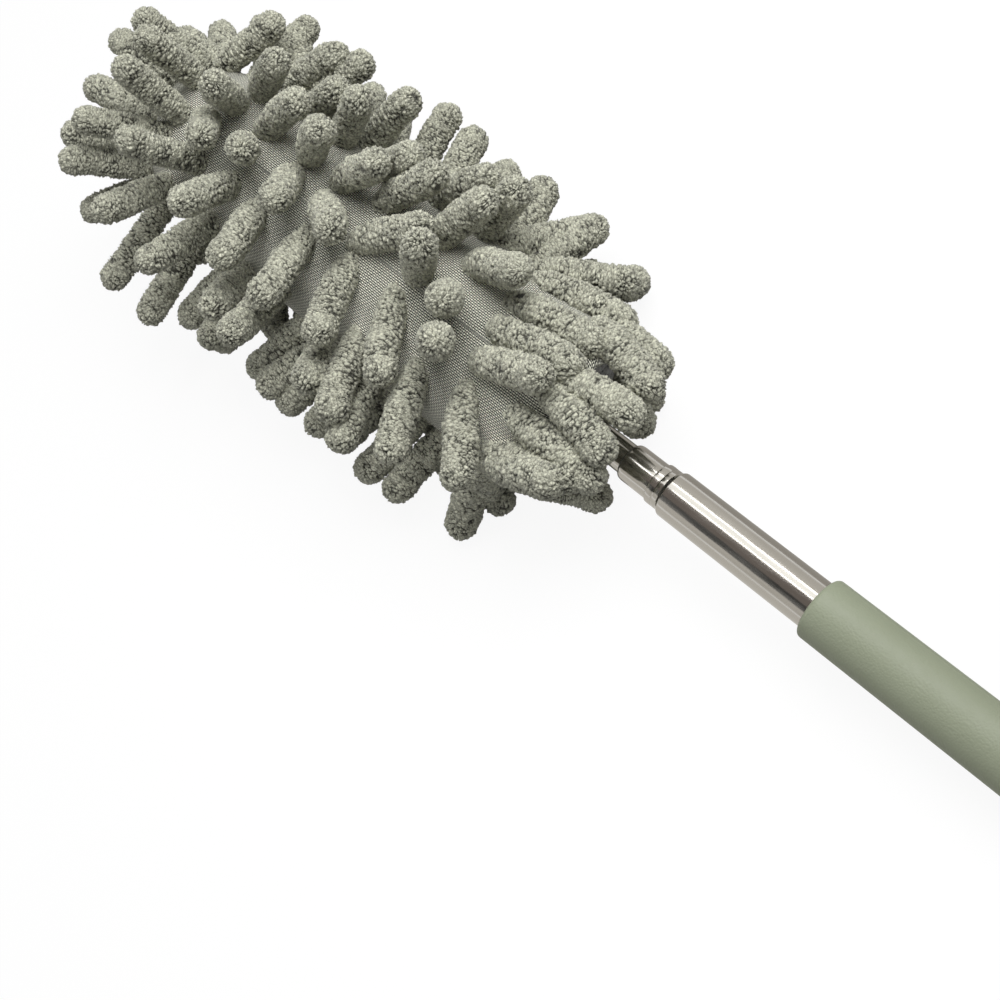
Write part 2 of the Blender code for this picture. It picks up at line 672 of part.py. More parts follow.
def leaning(station_share, angle_deg, forward_deg, round_deg, length):
    """Root point, root normal and end point of a finger that leans by the given angles."""
    root, normal = cover_point(HEAD_LENGTH * station_share / 1000, math.radians(angle_deg))
    out = Vector((0, normal.y, normal.z)).normalized()
    side = Vector((0, out.z, -out.y))
    forward = math.radians(forward_deg)
    turn = math.radians(round_deg)
    way = out * math.cos(turn) + side * math.sin(turn)
    direction = way * math.cos(forward) + Vector((1, 0, 0)) * math.sin(forward)
    return root, normal, clear_of_core(root + direction * length)


def clear_of_core(end):
    """Moves the end of a finger round the neck out of the core's path, so that the cover slides off."""
    room = FINGER_RADIUS + NECK_CLEARANCE - COVER_WALL
    share = math.hypot(end.y / (COVER_HALF_WIDTH + room), end.z / (COVER_HALF_HEIGHT + room))
    if share > 1 or end.x > HEAD_START + CORE_SETBACK:
        return end
    return Vector((end.x, end.y / share, end.z / share))


def finger_paths():
    """Root point, root normal and end point of each finger on the cover."""
    paths = [leaning(*row, FINGER_LENGTH) for row in TOP_FINGERS + LEFT_FINGERS + RIGHT_FINGERS]
    paths += [leaning(*row, LONG_FINGER_LENGTH) for row in LONG_FINGERS]
    for angle_deg, first, back in UNDER_ROWS:
        outer = angle_deg in (UNDER_ROWS[0][0], UNDER_ROWS[-1][0])
        paths += under_fingers(math.radians(angle_deg), first, back, outer)
    return paths


def under_fingers(angle, first, back, outer):
    """One row of fingers under the head. They splay sideways: the front part of the outer rows lies on
    the table and carries the head, and the rest stays just above it."""
    paths = []
    station = first
    while station < HEAD_LENGTH - UNDER_END_GAP:
        carries = outer and station > UNDER_CARRY
        lowest = FINGER_RADIUS + (-UNDER_PRESS if carries else UNDER_LIFT)
        root, normal = cover_point(station, angle)
        side = 1.0 if math.sin(angle) > 0 else -1.0
        sweep = (UNDER_SWEEP_FRONT + back) * station / HEAD_LENGTH - back
        flat = Vector((sweep, side, 0.0)).normalized()
        reach = FINGER_LENGTH - FINGER_RADIUS
        room = root.z - table_height(root.x + flat.x * reach) - lowest
        drop = min(-normal.z, room / reach)
        direction = flat * math.sqrt(1.0 - drop * drop) - Vector((0, 0, drop))
        paths.append((root, normal, root + direction * FINGER_LENGTH))
        station += UNDER_PITCH
    return paths


def finger_rings(root, normal, end):
    """Centres, directions and radii along one finger, and its end point. It leaves the cover upright
    and bends over at a knee, which stays above the table."""
    direction = (end - root).normalized()
    rise = (normal + direction).normalized()
    start = root - rise * FINGER_SINK
    knee = root + rise * FINGER_LENGTH * FINGER_KNEE
    knee.z = max(knee.z, table_height(knee.x) + FINGER_RADIUS + UNDER_LIFT)
    tip = end - direction * FINGER_RADIUS
    first = (knee - start).normalized()
    last = (tip - knee).normalized()
    rings = [
        (start, first, FINGER_ROOT_RADIUS),
        (knee, (first + last).normalized(), FINGER_RADIUS),
        (tip, last, FINGER_RADIUS),
        (tip + last * FINGER_ROUND_LENGTH, last, FINGER_ROUND_RADIUS),
    ]
    return rings, tip + last * FINGER_RADIUS


def fingers_mesh():
    """All fingers as separate closed shapes in one mesh."""
    vertices = []
    faces = []
    for root, normal, end in finger_paths():
        rings, apex = finger_rings(root, normal, end)
        first = len(vertices)
        u = rings[0][1].orthogonal()
        for centre, axis, radius in rings:
            u = (u - axis * u.dot(axis)).normalized()
            v = axis.cross(u)
            for i in range(FINGER_SIDES):
                turn = 2 * math.pi * i / FINGER_SIDES
                vertices.append(centre + (u * math.cos(turn) + v * math.sin(turn)) * radius)
        faces.append(tuple(range(first + FINGER_SIDES - 1, first - 1, -1)))
        for ring in range(len(rings) - 1):
            a = first + ring * FINGER_SIDES
            b = a + FINGER_SIDES
            for i in range(FINGER_SIDES):
                j = (i + 1) % FINGER_SIDES
                faces.append((a + i, a + j, b + j, b + i))
        top = first + (len(rings) - 1) * FINGER_SIDES
        vertices.append(apex)
        for i in range(FINGER_SIDES):
            faces.append((top + i, top + (i + 1) % FINGER_SIDES, len(vertices) - 1))
    mesh = bpy.data.meshes.new("fingers")
    mesh.from_pydata(vertices, [], faces)
    return mesh


def chenille_cover(material, parent):
    """Knitted sleeve with its fingers: an outer form joined with the fingers, then the pocket cut out."""
    sections = [(HEAD_START, cover_share(0.0)), (HEAD_START + HEM_ROUND / 2, cover_share(HEM_ROUND / 2))]
    sections += round_front(HEAD_START + HEM_ROUND, HEAD_START + HEAD_LENGTH, FRONT_ROUND)
    mesh = oval_mesh("chenille_cover", sections, COVER_HALF_WIDTH, COVER_HALF_HEIGHT)
    piece = add_object("chenille_cover", mesh, material, parent)
    boolean(piece, fingers_mesh(), "UNION", True)
    half_width = COVER_HALF_WIDTH - COVER_WALL
    half_height = COVER_HALF_HEIGHT - COVER_WALL
    pocket = oval_mesh("pocket", bore_sections(HEAD_START - OVERCUT), half_width, half_height)
    boolean(piece, pocket)
    channel = 2 * (ELASTIC_RADIUS + SLIDE_GAP)
    middle = HEAD_START + ELASTIC_STATION
    sections = [(middle - channel / 2, 1.0), (middle + channel / 2, 1.0)]
    groove = oval_mesh("groove", sections + [(middle + channel / 2, 0.0)], half_width + channel,
                       half_height + channel)
    boolean(piece, groove)
    return piece


def settle(root):
    """Moves the whole duster so that its lowest point is at Z = 0 and its box is centred on X and Y."""
    bpy.context.view_layer.update()
    graph = bpy.context.evaluated_depsgraph_get()
    low = Vector((1e9, 1e9, 1e9))
    high = -low
    for piece in bpy.data.objects:
        if piece.type != "MESH" or piece.hide_render:
            continue
        shape = piece.evaluated_get(graph)
        mesh = shape.to_mesh()
        for vertex in mesh.vertices:
            spot = shape.matrix_world @ vertex.co
            low = Vector(map(min, low, spot))
            high = Vector(map(max, high, spot))
        shape.to_mesh_clear()
    root.location -= Vector(((low.x + high.x) / 2, (low.y + high.y) / 2, low.z))
    bpy.context.view_layer.update()


def add_empty(name, parent, x=0.0):
    """A joint's or an assembly's frame on the pole's axis."""
    empty = bpy.data.objects.new(name, None)
    bpy.context.scene.collection.objects.link(empty)
    empty.parent = parent
    empty.location = (x, 0.0, 0.0)
    return empty


def build():
    """Builds the whole duster."""
    clear_scene()
    plastic = make_material("sage_plastic", (0.33, 0.38, 0.28), 0.55)
    steel = make_material("polished_steel", (0.66, 0.65, 0.63), 0.18, 1.0)
    brass = make_material("spring_brass", (0.72, 0.55, 0.25), 0.35, 1.0)
    nylon = make_material("white_nylon", (0.80, 0.80, 0.76), 0.45)
    black = make_material("black_plastic", (0.03, 0.03, 0.03), 0.50)
    foam = make_material("grey_foam", (0.45, 0.45, 0.44), 0.95)
    rubber = make_material("elastic_cord", (0.70, 0.70, 0.68), 0.80)
    chenille = make_material("chenille", (0.36, 0.37, 0.33), 0.95)

    root = add_empty("duster", None)
    root.rotation_euler = (0.0, -POLE_RISE, 0.0)
    handle = add_empty("handle_unit", root)
    middle_slide = add_empty("middle_slide", root)
    middle = add_empty("middle_section", middle_slide)
    inner_slide = add_empty("inner_slide", middle)
    head = add_empty("head_unit", inner_slide)
    cover = add_empty("cover_unit", head)

    handle_grip(plastic, handle)
    hang_cap(plastic, handle)
    outer_tube(steel, handle)
    outer_tube_plug(nylon, handle)

    friction_sleeve("middle_friction_sleeve", MIDDLE_RADIUS, outer_bore(), MIDDLE_TAIL, brass, middle_slide)
    moving_tube("middle_tube", MIDDLE_RADIUS, MIDDLE_WALL, MIDDLE_FRONT, MIDDLE_TAIL, INNER_RADIUS,
                outer_bore() - SLIDE_GAP, steel, middle)
    tail_plug("middle_tail_plug", middle_bore(), outer_bore() - SLIDE_GAP, MIDDLE_TAIL, nylon, middle)

    friction_sleeve("inner_friction_sleeve", INNER_RADIUS, middle_bore(), INNER_TAIL, brass, inner_slide)
    inner_tube(steel, head)
    tail_plug("inner_tail_plug", INNER_RADIUS - INNER_WALL, middle_bore() - SLIDE_GAP, INNER_TAIL, nylon,
              head)
    neck_socket(black, head)
    neck_pin(steel, head)
    core_strip(steel, head)
    strip_rivets(steel, head)
    strip_tip_cap(black, head)
    foam_half("foam_core_upper", 1, foam, head)
    foam_half("foam_core_lower", -1, foam, head)

    chenille_cover(chenille, cover)
    hem_elastic(rubber, cover)
    settle(root)
    return root


build()
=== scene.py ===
"""Chenille duster: pile, knit, steel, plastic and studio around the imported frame.

Lengths are in metres. The pieces are made in the pole's own frame, as in the part's source: X runs
along the pole from the front edge of the handle towards the tip of the head, Z points up, and the
pole's axis is Y = Z = 0. POLE takes that frame to the row's frame.
"""

import json
import math

import bpy
import numpy as np
from mathutils import Matrix, Vector


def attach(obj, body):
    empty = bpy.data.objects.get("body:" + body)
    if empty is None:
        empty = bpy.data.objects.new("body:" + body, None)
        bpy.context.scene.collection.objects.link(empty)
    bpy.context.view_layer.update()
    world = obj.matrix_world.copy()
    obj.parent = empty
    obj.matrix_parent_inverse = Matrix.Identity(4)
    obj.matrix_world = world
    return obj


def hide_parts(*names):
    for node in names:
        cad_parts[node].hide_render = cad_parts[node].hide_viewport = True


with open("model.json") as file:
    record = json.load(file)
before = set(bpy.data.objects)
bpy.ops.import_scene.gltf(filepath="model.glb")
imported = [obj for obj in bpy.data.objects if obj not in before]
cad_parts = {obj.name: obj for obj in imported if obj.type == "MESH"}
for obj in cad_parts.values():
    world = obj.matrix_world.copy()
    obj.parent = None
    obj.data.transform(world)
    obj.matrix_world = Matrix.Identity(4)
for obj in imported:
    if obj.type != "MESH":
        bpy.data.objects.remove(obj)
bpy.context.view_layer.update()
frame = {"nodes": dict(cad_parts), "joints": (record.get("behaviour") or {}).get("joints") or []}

# The pole's frame, from the joint that turns the head on it
HEAD_TURN = next(joint for joint in frame["joints"] if joint["name"] == "head_turn")
POLE_RISE = math.asin(HEAD_TURN["axis"][2])
POLE = Matrix.Translation(Vector(HEAD_TURN["pos_m"])) @ Matrix.Rotation(-POLE_RISE, 4, "Y")

# Handle
GRIP_LENGTH = 0.150
GRIP_RADIUS = 0.0103
GRIP_EDGE = 0.0015
CAP_FLANGE = 0.0048
PARTING_HEIGHT = 0.00016
PARTING_WIDTH = 0.00035
PARTING_ANGLE = math.radians(-62)
GRIP_SKIN = 0.0004

# Tubes
OUTER_RADIUS = 0.0080
OUTER_WALL = 0.0006
OUTER_FRONT = 0.0638
OUTER_TAIL = 0.1400
NECK_LENGTH = 0.0046
NECK_RADIUS = 0.0071
SHOULDER_LENGTH = 0.0018
SHOULDER_STEPS = 10
GROOVE_PLACE = 0.0019
GROOVE_HALF_WIDTH = 0.00045
GROOVE_BED = 0.0002
GROOVE_EDGE_DEPTH = 0.0001
GROOVE_DEPTH = 0.00018
LIP_LENGTH = 0.0012
LIP_FLARE = 0.00004
MIDDLE_RADIUS = 0.0065
MIDDLE_WALL = 0.0005
MIDDLE_FRONT = 0.0763
MIDDLE_TAIL = 0.1320
INNER_RADIUS = 0.00525
INNER_WALL = 0.0005
INNER_FRONT = 0.1080
INNER_TAIL = 0.1240
MOUTH_ROUND = 0.0020
MOUTH_STEPS = 12
SLEEVE_LENGTH = 0.0140
BEAD_LENGTH = 0.0015
GAP = 0.0003
SLIDE_GAP = 0.00015

# Head
HEAD_START = 0.1010
HEAD_LENGTH = 0.2250
COVER_HALF_WIDTH = 0.0305
COVER_HALF_HEIGHT = 0.0210
COVER_WALL = 0.0022
FRONT_ROUND = 0.0480
HEM_ROUND = 0.0060
HEM_SHRINK = 0.06
HEM_PLEATS = 17
HEM_INSIDE = 0.0040
FOAM_VOXEL = 0.0011
FOAM_ROUNDS = 4
CAP_VOXEL = 0.00035
CAP_ROUNDS = 6

# The hem's turned edge, from outside to inside, each ring as: distance from the mouth, share of the section
HEM_EDGE = ((-0.0012, 0.90), (-0.0019, 0.865), (-0.0017, 0.835), (-0.0006, 0.825), (0.0010, 0.845))

# Fingers
FINGER_LENGTH = 0.0345
LONG_FINGER_LENGTH = 0.0430
FINGER_RADIUS = 0.0054
FINGER_SINK = 0.0030
FINGER_LEAVE = 0.7
FINGER_CLEARANCE = 0.0002
UNDER_PITCH = 0.0225
UNDER_END_GAP = 0.0090
UNDER_SWEEP_FRONT = 0.5
UNDER_LIFT = 0.0012
UNDER_PRESS = 0.0004
UNDER_CARRY = 0.1000

# Rows of fingers under the head, each as: place round the head in degrees, distance of its first finger
# from the cover's mouth, and how far the first fingers lean backwards for 1 sideways.
UNDER_ROWS = (
    (136, 0.0380, 2.0), (160, 0.0490, 2.0), (184, 0.0160, 1.1), (208, 0.0270, 2.2), (232, 0.0600, 1.1),
)

# Fingers that show from above, each as: distance from the cover's mouth in thousandths of the head's
# length, place round the head in degrees (0 on top, 90 at the left side, -90 at the right side), lean
# towards the tip and lean round the head in degrees.
TOP_FINGERS = (
    (933, -55, 42, 49), (956, -30, 68, 41), (898, -28, 11, 25), (911, -62, 84, -95),
    (916, -60, -29, -16), (853, -72, 11, -43), (871, 4, 13, 1), (947, 22, 75, 42),
    (880, 24, 35, 23), (911, 68, 26, -16), (778, 24, 12, 4), (818, -6, -45, 28),
    (796, -25, -24, 22), (791, -45, -35, 12), (800, -77, -40, 12), (747, -84, -34, 18),
    (720, -3, -42, 7), (716, -24, -42, -14), (613, -27, -34, 5), (702, -62, -42, 25),
    (613, -60, -28, 25), (596, -82, -30, 29), (827, 54, -4, 7), (693, 20, -17, 22),
    (604, -9, -36, 35), (524, -8, -50, 28), (702, 55, -2, 16), (618, 22, -27, 39),
    (622, 82, -30, -35), (507, 17, -20, 53), (520, 62, -16, 4), (413, 15, -30, 57),
    (404, 84, -32, -42), (342, 55, -33, 26), (311, 14, -40, 62), (213, 42, -29, 49),
    (529, -26, -44, -8), (511, -60, -44, 34), (444, -34, -42, -16), (409, -72, -45, 24),
    (311, -78, -28, 40), (329, -35, -35, -15), (422, -2, -52, -50), (302, -7, -23, -6),
    (271, -84, -18, -44), (249, -37, -54, 14), (240, -6, -33, 10), (209, 18, -33, -9),
    (196, -82, -50, -41), (164, -66, -71, -83), (147, -33, -82, -68), (36, -60, -74, 96),
    (133, -12, -79, -28), (124, 10, -61, -29), (27, -12, -84, -86), (22, -3, -78, 92),
    (22, 24, -81, 158), (116, 34, -41, 49), (40, 66, -62, -81), (36, 58, -69, -105),
    (311, 84, -29, -15), (71, -122, -58, -100), (53, 125, -62, 95),
)
LEFT_FINGERS = (
    (911, 100, 24, -26), (956, 70, 50, -5), (667, 98, 16, 6), (622, 112, 0, -34),
    (569, 104, 23, -6), (476, 96, 25, 15), (436, 112, 10, -40), (391, 106, 19, -13),
    (333, 116, 14, -32), (280, 104, 22, 5), (213, 100, 15, 5), (169, 114, 12, -15),
    (80, 100, 4, 32), (53, 84, 17, 85),
)
RIGHT_FINGERS = (
    (933, -90, 59, -29), (867, -100, 50, 10), (800, -98, 42, 10), (733, -100, 30, -5),
    (667, -100, 30, -20), (556, -96, 41, -13), (502, -94, 17, -3), (436, -98, 20, -1),
    (378, -104, 16, -4), (329, -98, 30, -10), (276, -100, 20, 1), (222, -96, -1, -17),
    (151, -98, -13, -31), (76, -92, -80, 110),
)
LONG_FINGERS = ((871, 100, -5, -14), (782, 104, -16, -26))

# Chenille pile. Both ranges are in finger lengths, and PILE_TIP_TURN radians round the tip count as one.
PILE_RADIUS = 0.0048
PILE_TUFT_LONG = 0.0021
PILE_TUFT_SHORT = 0.0010
PILE_TUFT_TIP = 0.0013
PILE_THINNING = 0.10
PILE_DEPTH = 0.0010
PILE_SPREAD = 0.00022
PILE_TILT = 0.0006
PILE_FINE = 0.00022
PILE_LUMP = 0.00035
PILE_FULL_SHARE = 1.01
PILE_VARIETY = 0.05
PILE_ROOT_SHARE = 0.81
PILE_ROOT_RANGE = (0.05, 0.6)
PILE_TIP_RANGE = (0.85, 1.1)
PILE_TIP_TURN = 6
FINGER_SIDES = 104
FINGER_STEP = 0.00032
FINGER_CAP_STEPS = 18
FINGER_BEND = 0.0004
FINGER_BEND_POWER = 1.3
FINGERS_IN_GROUP = 7

# Pattern of the pile, its sizes counted in tufts
PATTERN_SHIFT = 50.0
WARP_SIZE = 1.6
WARP_REACH = 0.45
FINE_WARP_REACH = 1.2
FINE_CELLS_IN_TUFT = 2.1
HOLLOW_SIZE = 2.4
HOLLOW_RANGE = (-0.5, 0.4)
HOLLOW_LEAST = 0.58
CREASE_WIDTH = 0.24
FINE_CREASE_WIDTH = 0.35
DOME_LEAST = 0.80
DOME_TOP = 1.4
DOME_FALL = 1.6
TILT_LIMIT = 0.5
LUMP_SIZE = 3.5
# Colour of the pile: a level on the tufts' tops that the creases between tufts darken as painted shade,
# painted shade in the fine creases, and tone that varies at random from tuft to tuft and in lumps.
PALE_LEVEL = 0.80
PALE_OWN = 0.14
# painted highlight on the tipward side of each tuft, painted shade on its rootward side
TIPWARD_PAINTED_HIGHLIGHT = 0.18
FINE_CREASE_PAINTED_SHADE = 0.06
PALE_FINE_OWN = 0.07
PALE_LUMP = 0.05

# Grain of the tufts' surface
GRAINS_IN_TUFT = 1.6
GRAIN_BEND = 0.5

# Knit. Its stitches, its rows and the way round the head are in millimetres, the slip from row to row is a
# share of a stitch, and the seams' places and width are in degrees.
STITCH_LENGTH = 1.64
STITCH_ROW = 0.625
STITCH_SLIP = 0.42
KNIT_ROUND = 162
KNIT_SIDES = 260
KNIT_STEP = 0.0011
KNIT_FRONT_DENSITY = 1.3
INSIDE_STEP = 0.0060
INSIDE_FRONT_STEPS = 14
TENT_HEIGHT = 0.0024
TENT_WIDTH = 0.0042
TENT_POWER = 1.5
SLACK_HEIGHT = 0.0006
SLACK_SIZE = 0.016
FINE_SLACK_HEIGHT = 0.00035
FINE_SLACK_SIZE = 0.007
PLEAT_HEIGHT = 0.0008
PLEAT_REACH = 0.010
PLEAT_WANDER = 3
PLEAT_WANDER_SIZE = 0.02
RIPPLE_SHARE = 0.018
RIPPLE_REACH = 0.004
SEAM_PLACES = (99, 261)
SEAM_WIDTH = 2.2
SEAM_HEIGHT = 0.0009

# Colours, as red, green and blue for a level of 1
CHENILLE_TINT = (1.0, 1.0, 0.81)
KNIT_TINT = (1.0, 1.0, 0.85)

# Photograph's camera, in pixels of its 1000 by 1000 frame. The handle's depth is in metres, the sensor in
# millimetres.
PHOTO_SIDE = 1000
PHOTO_FOCAL = 1500
POLE_VANISHING = (-1755.6, -1391.5)
HANDLE_FRONT = (818, 607)
HANDLE_DEPTH = 0.4395
SENSOR = 36.0
CLIP_START = 0.01

# Studio
WORLD_LEVEL = 0.17
BACKDROP_LEVEL = 0.93
BOARD_DISTANCE = 0.6
BOARD_START = -0.5
BOARD_END = 1.0
FLOOR_BOARD_NEAR = 0.005
FLOOR_BOARD_FAR = 0.35
FLOOR_BOARD_HEIGHT = 0.0008
FLOOR_GREY = 0.38
FLOOR_GLOW = 1.22
FLOOR_SHARE = 0.75
FLOOR_REACH = 6.0

# Lamps, each as: name, direction and distance from what it looks at, size, power, and the place along the
# pole that it looks at
LAMPS = (
    ("key", (0.0, -0.50, 1.0), 0.70, 0.7, 5.9, 0.09),
    ("fill", (-0.7, 0.4, 0.9), 1.2, 0.9, 1.2, 0.2),
    ("low_fill", (0.5, 1.1, 0.75), 1.8, 0.8, 4.4, 0.2),
)

# Boards hung along the pole, each as: name, two angles from overhead in degrees, colour
HUNG_BOARDS = (
    ("bright_board", -34, -9, (1.38, 1.38, 1.35)), ("brown_board", -6, 34, (0.19, 0.165, 0.15)),
    ("dark_board", 34, 60, (0.05, 0.05, 0.048)), ("low_board", 60, 88, (0.58, 0.56, 0.52)),
    ("grey_board", -86, -38, (0.64, 0.62, 0.58)),
)

# Boards that lie on the floor beside the pole, each as: name, side (1 left, -1 right), colour
FLOOR_BOARDS = (
    ("left_floor_board", 1, (0.70, 0.68, 0.64)), ("right_floor_board", -1, (0.42, 0.40, 0.37)),
)


# Numbers

def hashed(cells, salt):
    """A number from 0 to 1 for each whole-numbered cell, another one for each salt."""
    x = cells.astype(np.int64).astype(np.uint64)
    h = x[..., 0] * np.uint64(73856093) ^ x[..., 1] * np.uint64(19349663) ^ x[..., 2] * np.uint64(83492791)
    h = (h + np.uint64(salt * 2654435761)) & np.uint64(0xFFFFFFFF)
    h ^= h >> np.uint64(15)
    h = (h * np.uint64(0x2C1B3C6D)) & np.uint64(0xFFFFFFFF)
    h ^= h >> np.uint64(12)
    h = (h * np.uint64(0x297A2D39)) & np.uint64(0xFFFFFFFF)
    h ^= h >> np.uint64(15)
    return h.astype(np.float64) / 0xFFFFFFFF


def soft_noise(points, size, salt):
    """Smooth noise from -1 to 1, with lumps of about that size."""
    scaled = points / size
    low = np.floor(scaled)
    share = scaled - low
    share = share * share * (3 - 2 * share)
    total = np.zeros(len(points))
    for corner in np.ndindex(2, 2, 2):
        step = np.array(corner)
        weight = np.prod(np.where(step == 1, share, 1 - share), axis=1)
        total += weight * hashed(low + step, salt)
    return 2 * total - 1


def cells_noise(points, salt):
    """Distance to the nearest and second nearest of scattered points, the nearest one's own number, and
    how far it lies behind along the third axis."""
    low = np.floor(points)
    first = np.full(len(points), 9.0)
    second = np.full(len(points), 9.0)
    own = np.zeros(len(points))
    ahead = np.zeros(len(points))
    for offset in np.ndindex(3, 3, 3):
        cell = low + np.array(offset) - 1
        spot = cell + np.stack([hashed(cell, salt + k) for k in (1, 2, 3)], axis=1)
        away = np.linalg.norm(points - spot, axis=1)
        nearer = away < first
        second = np.where(nearer, first, np.minimum(second, away))
        own = np.where(nearer, hashed(cell, salt + 4), own)
        ahead = np.where(nearer, points[:, 2] - spot[:, 2], ahead)
        first = np.where(nearer, away, first)
    return first, second, own, ahead


def tinted(level, tint):
    """A tint at a level of brightness."""
    return tuple(level * part for part in tint)


def smooth_step(value, low, high):
    """0 below low, 1 above high, and a smooth rise between them."""
    t = np.clip((value - low) / (high - low), 0, 1)
    return t * t * (3 - 2 * t)


# Meshes

def linked(name, data):
    """A new object in the scene."""
    made = bpy.data.objects.new(name, data)
    bpy.context.scene.collection.objects.link(made)
    return made


def add_piece(name, points, faces, material, body, nodes=(), attributes=None, sharp=None):
    """Makes a mesh from points in the pole's frame, and lets it ride on its body."""
    turn = np.array(POLE.to_3x3())
    points = np.asarray(points) @ turn.T + np.array(POLE.translation)
    mesh = bpy.data.meshes.new(name)
    mesh.vertices.add(len(points))
    mesh.vertices.foreach_set("co", points.astype(np.float32).ravel())
    corners = np.concatenate([np.asarray(block).ravel() for block in faces])
    sizes = np.concatenate([np.full(len(block), np.asarray(block).shape[1]) for block in faces])
    mesh.loops.add(len(corners))
    mesh.loops.foreach_set("vertex_index", corners.astype(np.int32))
    mesh.polygons.add(len(sizes))
    mesh.polygons.foreach_set("loop_start", (np.cumsum(sizes) - sizes).astype(np.int32))
    mesh.update(calc_edges=True)
    for key, values in (attributes or {}).items():
        layer = mesh.attributes.new(key, "FLOAT", "POINT")
        layer.data.foreach_set("value", np.asarray(values, np.float32))
    mesh.materials.append(material)
    mesh.shade_smooth()
    if sharp:
        mesh.set_sharp_from_angle(angle=math.radians(sharp))
    piece = linked(name, mesh)
    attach(piece, body)
    if nodes:
        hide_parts(*nodes)


def softened(node, name, voxel, rounds, material, body):
    """A solid with its edges rounded by a fine remesh, which replaces its node."""
    piece = linked(name, frame["nodes"][node].data.copy())
    remesh = piece.modifiers.new("remesh", "REMESH")
    remesh.mode = "VOXEL"
    remesh.voxel_size = voxel
    soften = piece.modifiers.new("soften", "SMOOTH")
    soften.iterations = rounds
    bpy.context.view_layer.update()
    shape = piece.evaluated_get(bpy.context.evaluated_depsgraph_get())
    made = bpy.data.meshes.new_from_object(shape)
    piece.modifiers.clear()
    piece.data = made
    made.materials.clear()
    made.materials.append(material)
    made.shade_smooth()
    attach(piece, body)
    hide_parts(node)
    return piece


def ring_faces(first, rings, sides):
    """Quads between successive rings of points."""
    ring = np.arange(rings - 1)[:, None] * sides
    side = np.arange(sides)[None, :]
    following = (side + 1) % sides
    above = ring + sides
    quads = np.stack([ring + side, ring + following, above + following, above + side], axis=-1)
    return quads.reshape(-1, 4) + first


def fan_faces(centre, ring_start, sides, flip):
    """Triangles that close a ring with a middle point."""
    side = np.arange(sides)
    following = (side + 1) % sides
    a, b = (following, side) if flip else (side, following)
    return np.stack([np.full(sides, centre), ring_start + a, ring_start + b], axis=-1)


def turned(name, profile, material, body, nodes, sides=128, shape=None):
    """Turns an (x, radius) outline about the pole, its last ring joined to its first. shape(x, turn, radius)
    may change the radius."""
    outline = np.array(profile)
    turns = 2 * math.pi * np.arange(sides) / sides
    x = np.repeat(outline[:, 0], sides)
    radius = np.repeat(outline[:, 1], sides)
    turn = np.tile(turns, len(outline))
    if shape:
        radius = shape(x, turn, radius)
    points = np.stack([x, radius * np.sin(turn), radius * np.cos(turn)], axis=1)
    quads = ring_faces(0, len(outline) + 1, sides) % len(points)
    add_piece(name, points, [quads[:, ::-1]], material, body, nodes, sharp=40)


def arc(centre_x, centre_r, radius, start, end, steps=8):
    """Points of a rounded corner, angles in degrees from +X towards +radius."""
    turns = [math.radians(start + (end - start) * i / steps) for i in range(steps + 1)]
    return [(centre_x + radius * math.cos(turn), centre_r + radius * math.sin(turn)) for turn in turns]


def along(start, end, radius, step=0.004):
    """Points along a straight stretch, both ends left out."""
    count = max(1, int(abs(end - start) / step))
    return [(start + (end - start) * i / count, radius) for i in range(1, count)]


# Materials

def new_material(name, colour, roughness, metallic=0.0):
    """A Principled material and its node tree."""
    material = bpy.data.materials.new(name)
    material.use_nodes = True
    shader = material.node_tree.nodes["Principled BSDF"]
    shader.inputs["Base Color"].default_value = (*colour, 1.0)
    shader.inputs["Roughness"].default_value = roughness
    shader.inputs["Metallic"].default_value = metallic
    return material, material.node_tree, shader


def add_node(tree, kind, **settings):
    """A node with its inputs set, by name, from keyword arguments with _ for spaces."""
    node = tree.nodes.new(kind)
    for key, value in settings.items():
        label = key.replace("_", " ")
        if label in node.inputs:
            node.inputs[label].default_value = value
        else:
            setattr(node, key, value)
    return node


def ramp(tree, source, stops):
    """A colour ramp fed by a value. stops are (place, grey or colour)."""
    node = tree.nodes.new("ShaderNodeValToRGB")
    elements = node.color_ramp.elements
    while len(elements) < len(stops):
        elements.new(0.5)
    for element, (place, colour) in zip(elements, stops):
        element.position = place
        element.color = (*colour, 1.0) if isinstance(colour, tuple) else (colour, colour, colour, 1.0)
    tree.links.new(source, node.inputs["Fac"])
    return node.outputs["Color"]


def bump(tree, shader, height, strength, distance, below=None):
    """A bump from a height value, on top of an earlier one."""
    node = add_node(tree, "ShaderNodeBump", Strength=strength, Distance=distance)
    tree.links.new(height, node.inputs["Height"])
    if below is not None:
        tree.links.new(below, node.inputs["Normal"])
    tree.links.new(node.outputs["Normal"], shader.inputs["Normal"])
    return node.outputs["Normal"]


def object_noise(tree, scale, detail=3.0, stretch=(1.0, 1.0, 1.0)):
    """Noise over the object. A stretch under 1 draws it out along that axis of the row's frame."""
    place = tree.nodes.new("ShaderNodeTexCoord")
    mapping = tree.nodes.new("ShaderNodeMapping")
    mapping.inputs["Rotation"].default_value = (0.0, POLE_RISE, 0.0)
    mapping.inputs["Scale"].default_value = stretch
    noise = add_node(tree, "ShaderNodeTexNoise", Scale=scale, Detail=detail)
    tree.links.new(place.outputs["Object"], mapping.inputs["Vector"])
    tree.links.new(mapping.outputs["Vector"], noise.inputs["Vector"])
    return noise.outputs["Fac"]


def product(tree, first, second):
    """Two colours multiplied."""
    blend = add_node(tree, "ShaderNodeMix", data_type="RGBA", blend_type="MULTIPLY")
    blend.inputs["Factor"].default_value = 1.0
    colours = [socket for socket in blend.inputs if socket.type == "RGBA"]
    tree.links.new(first, colours[0])
    tree.links.new(second, colours[1])
    return next(socket for socket in blend.outputs if socket.type == "RGBA")


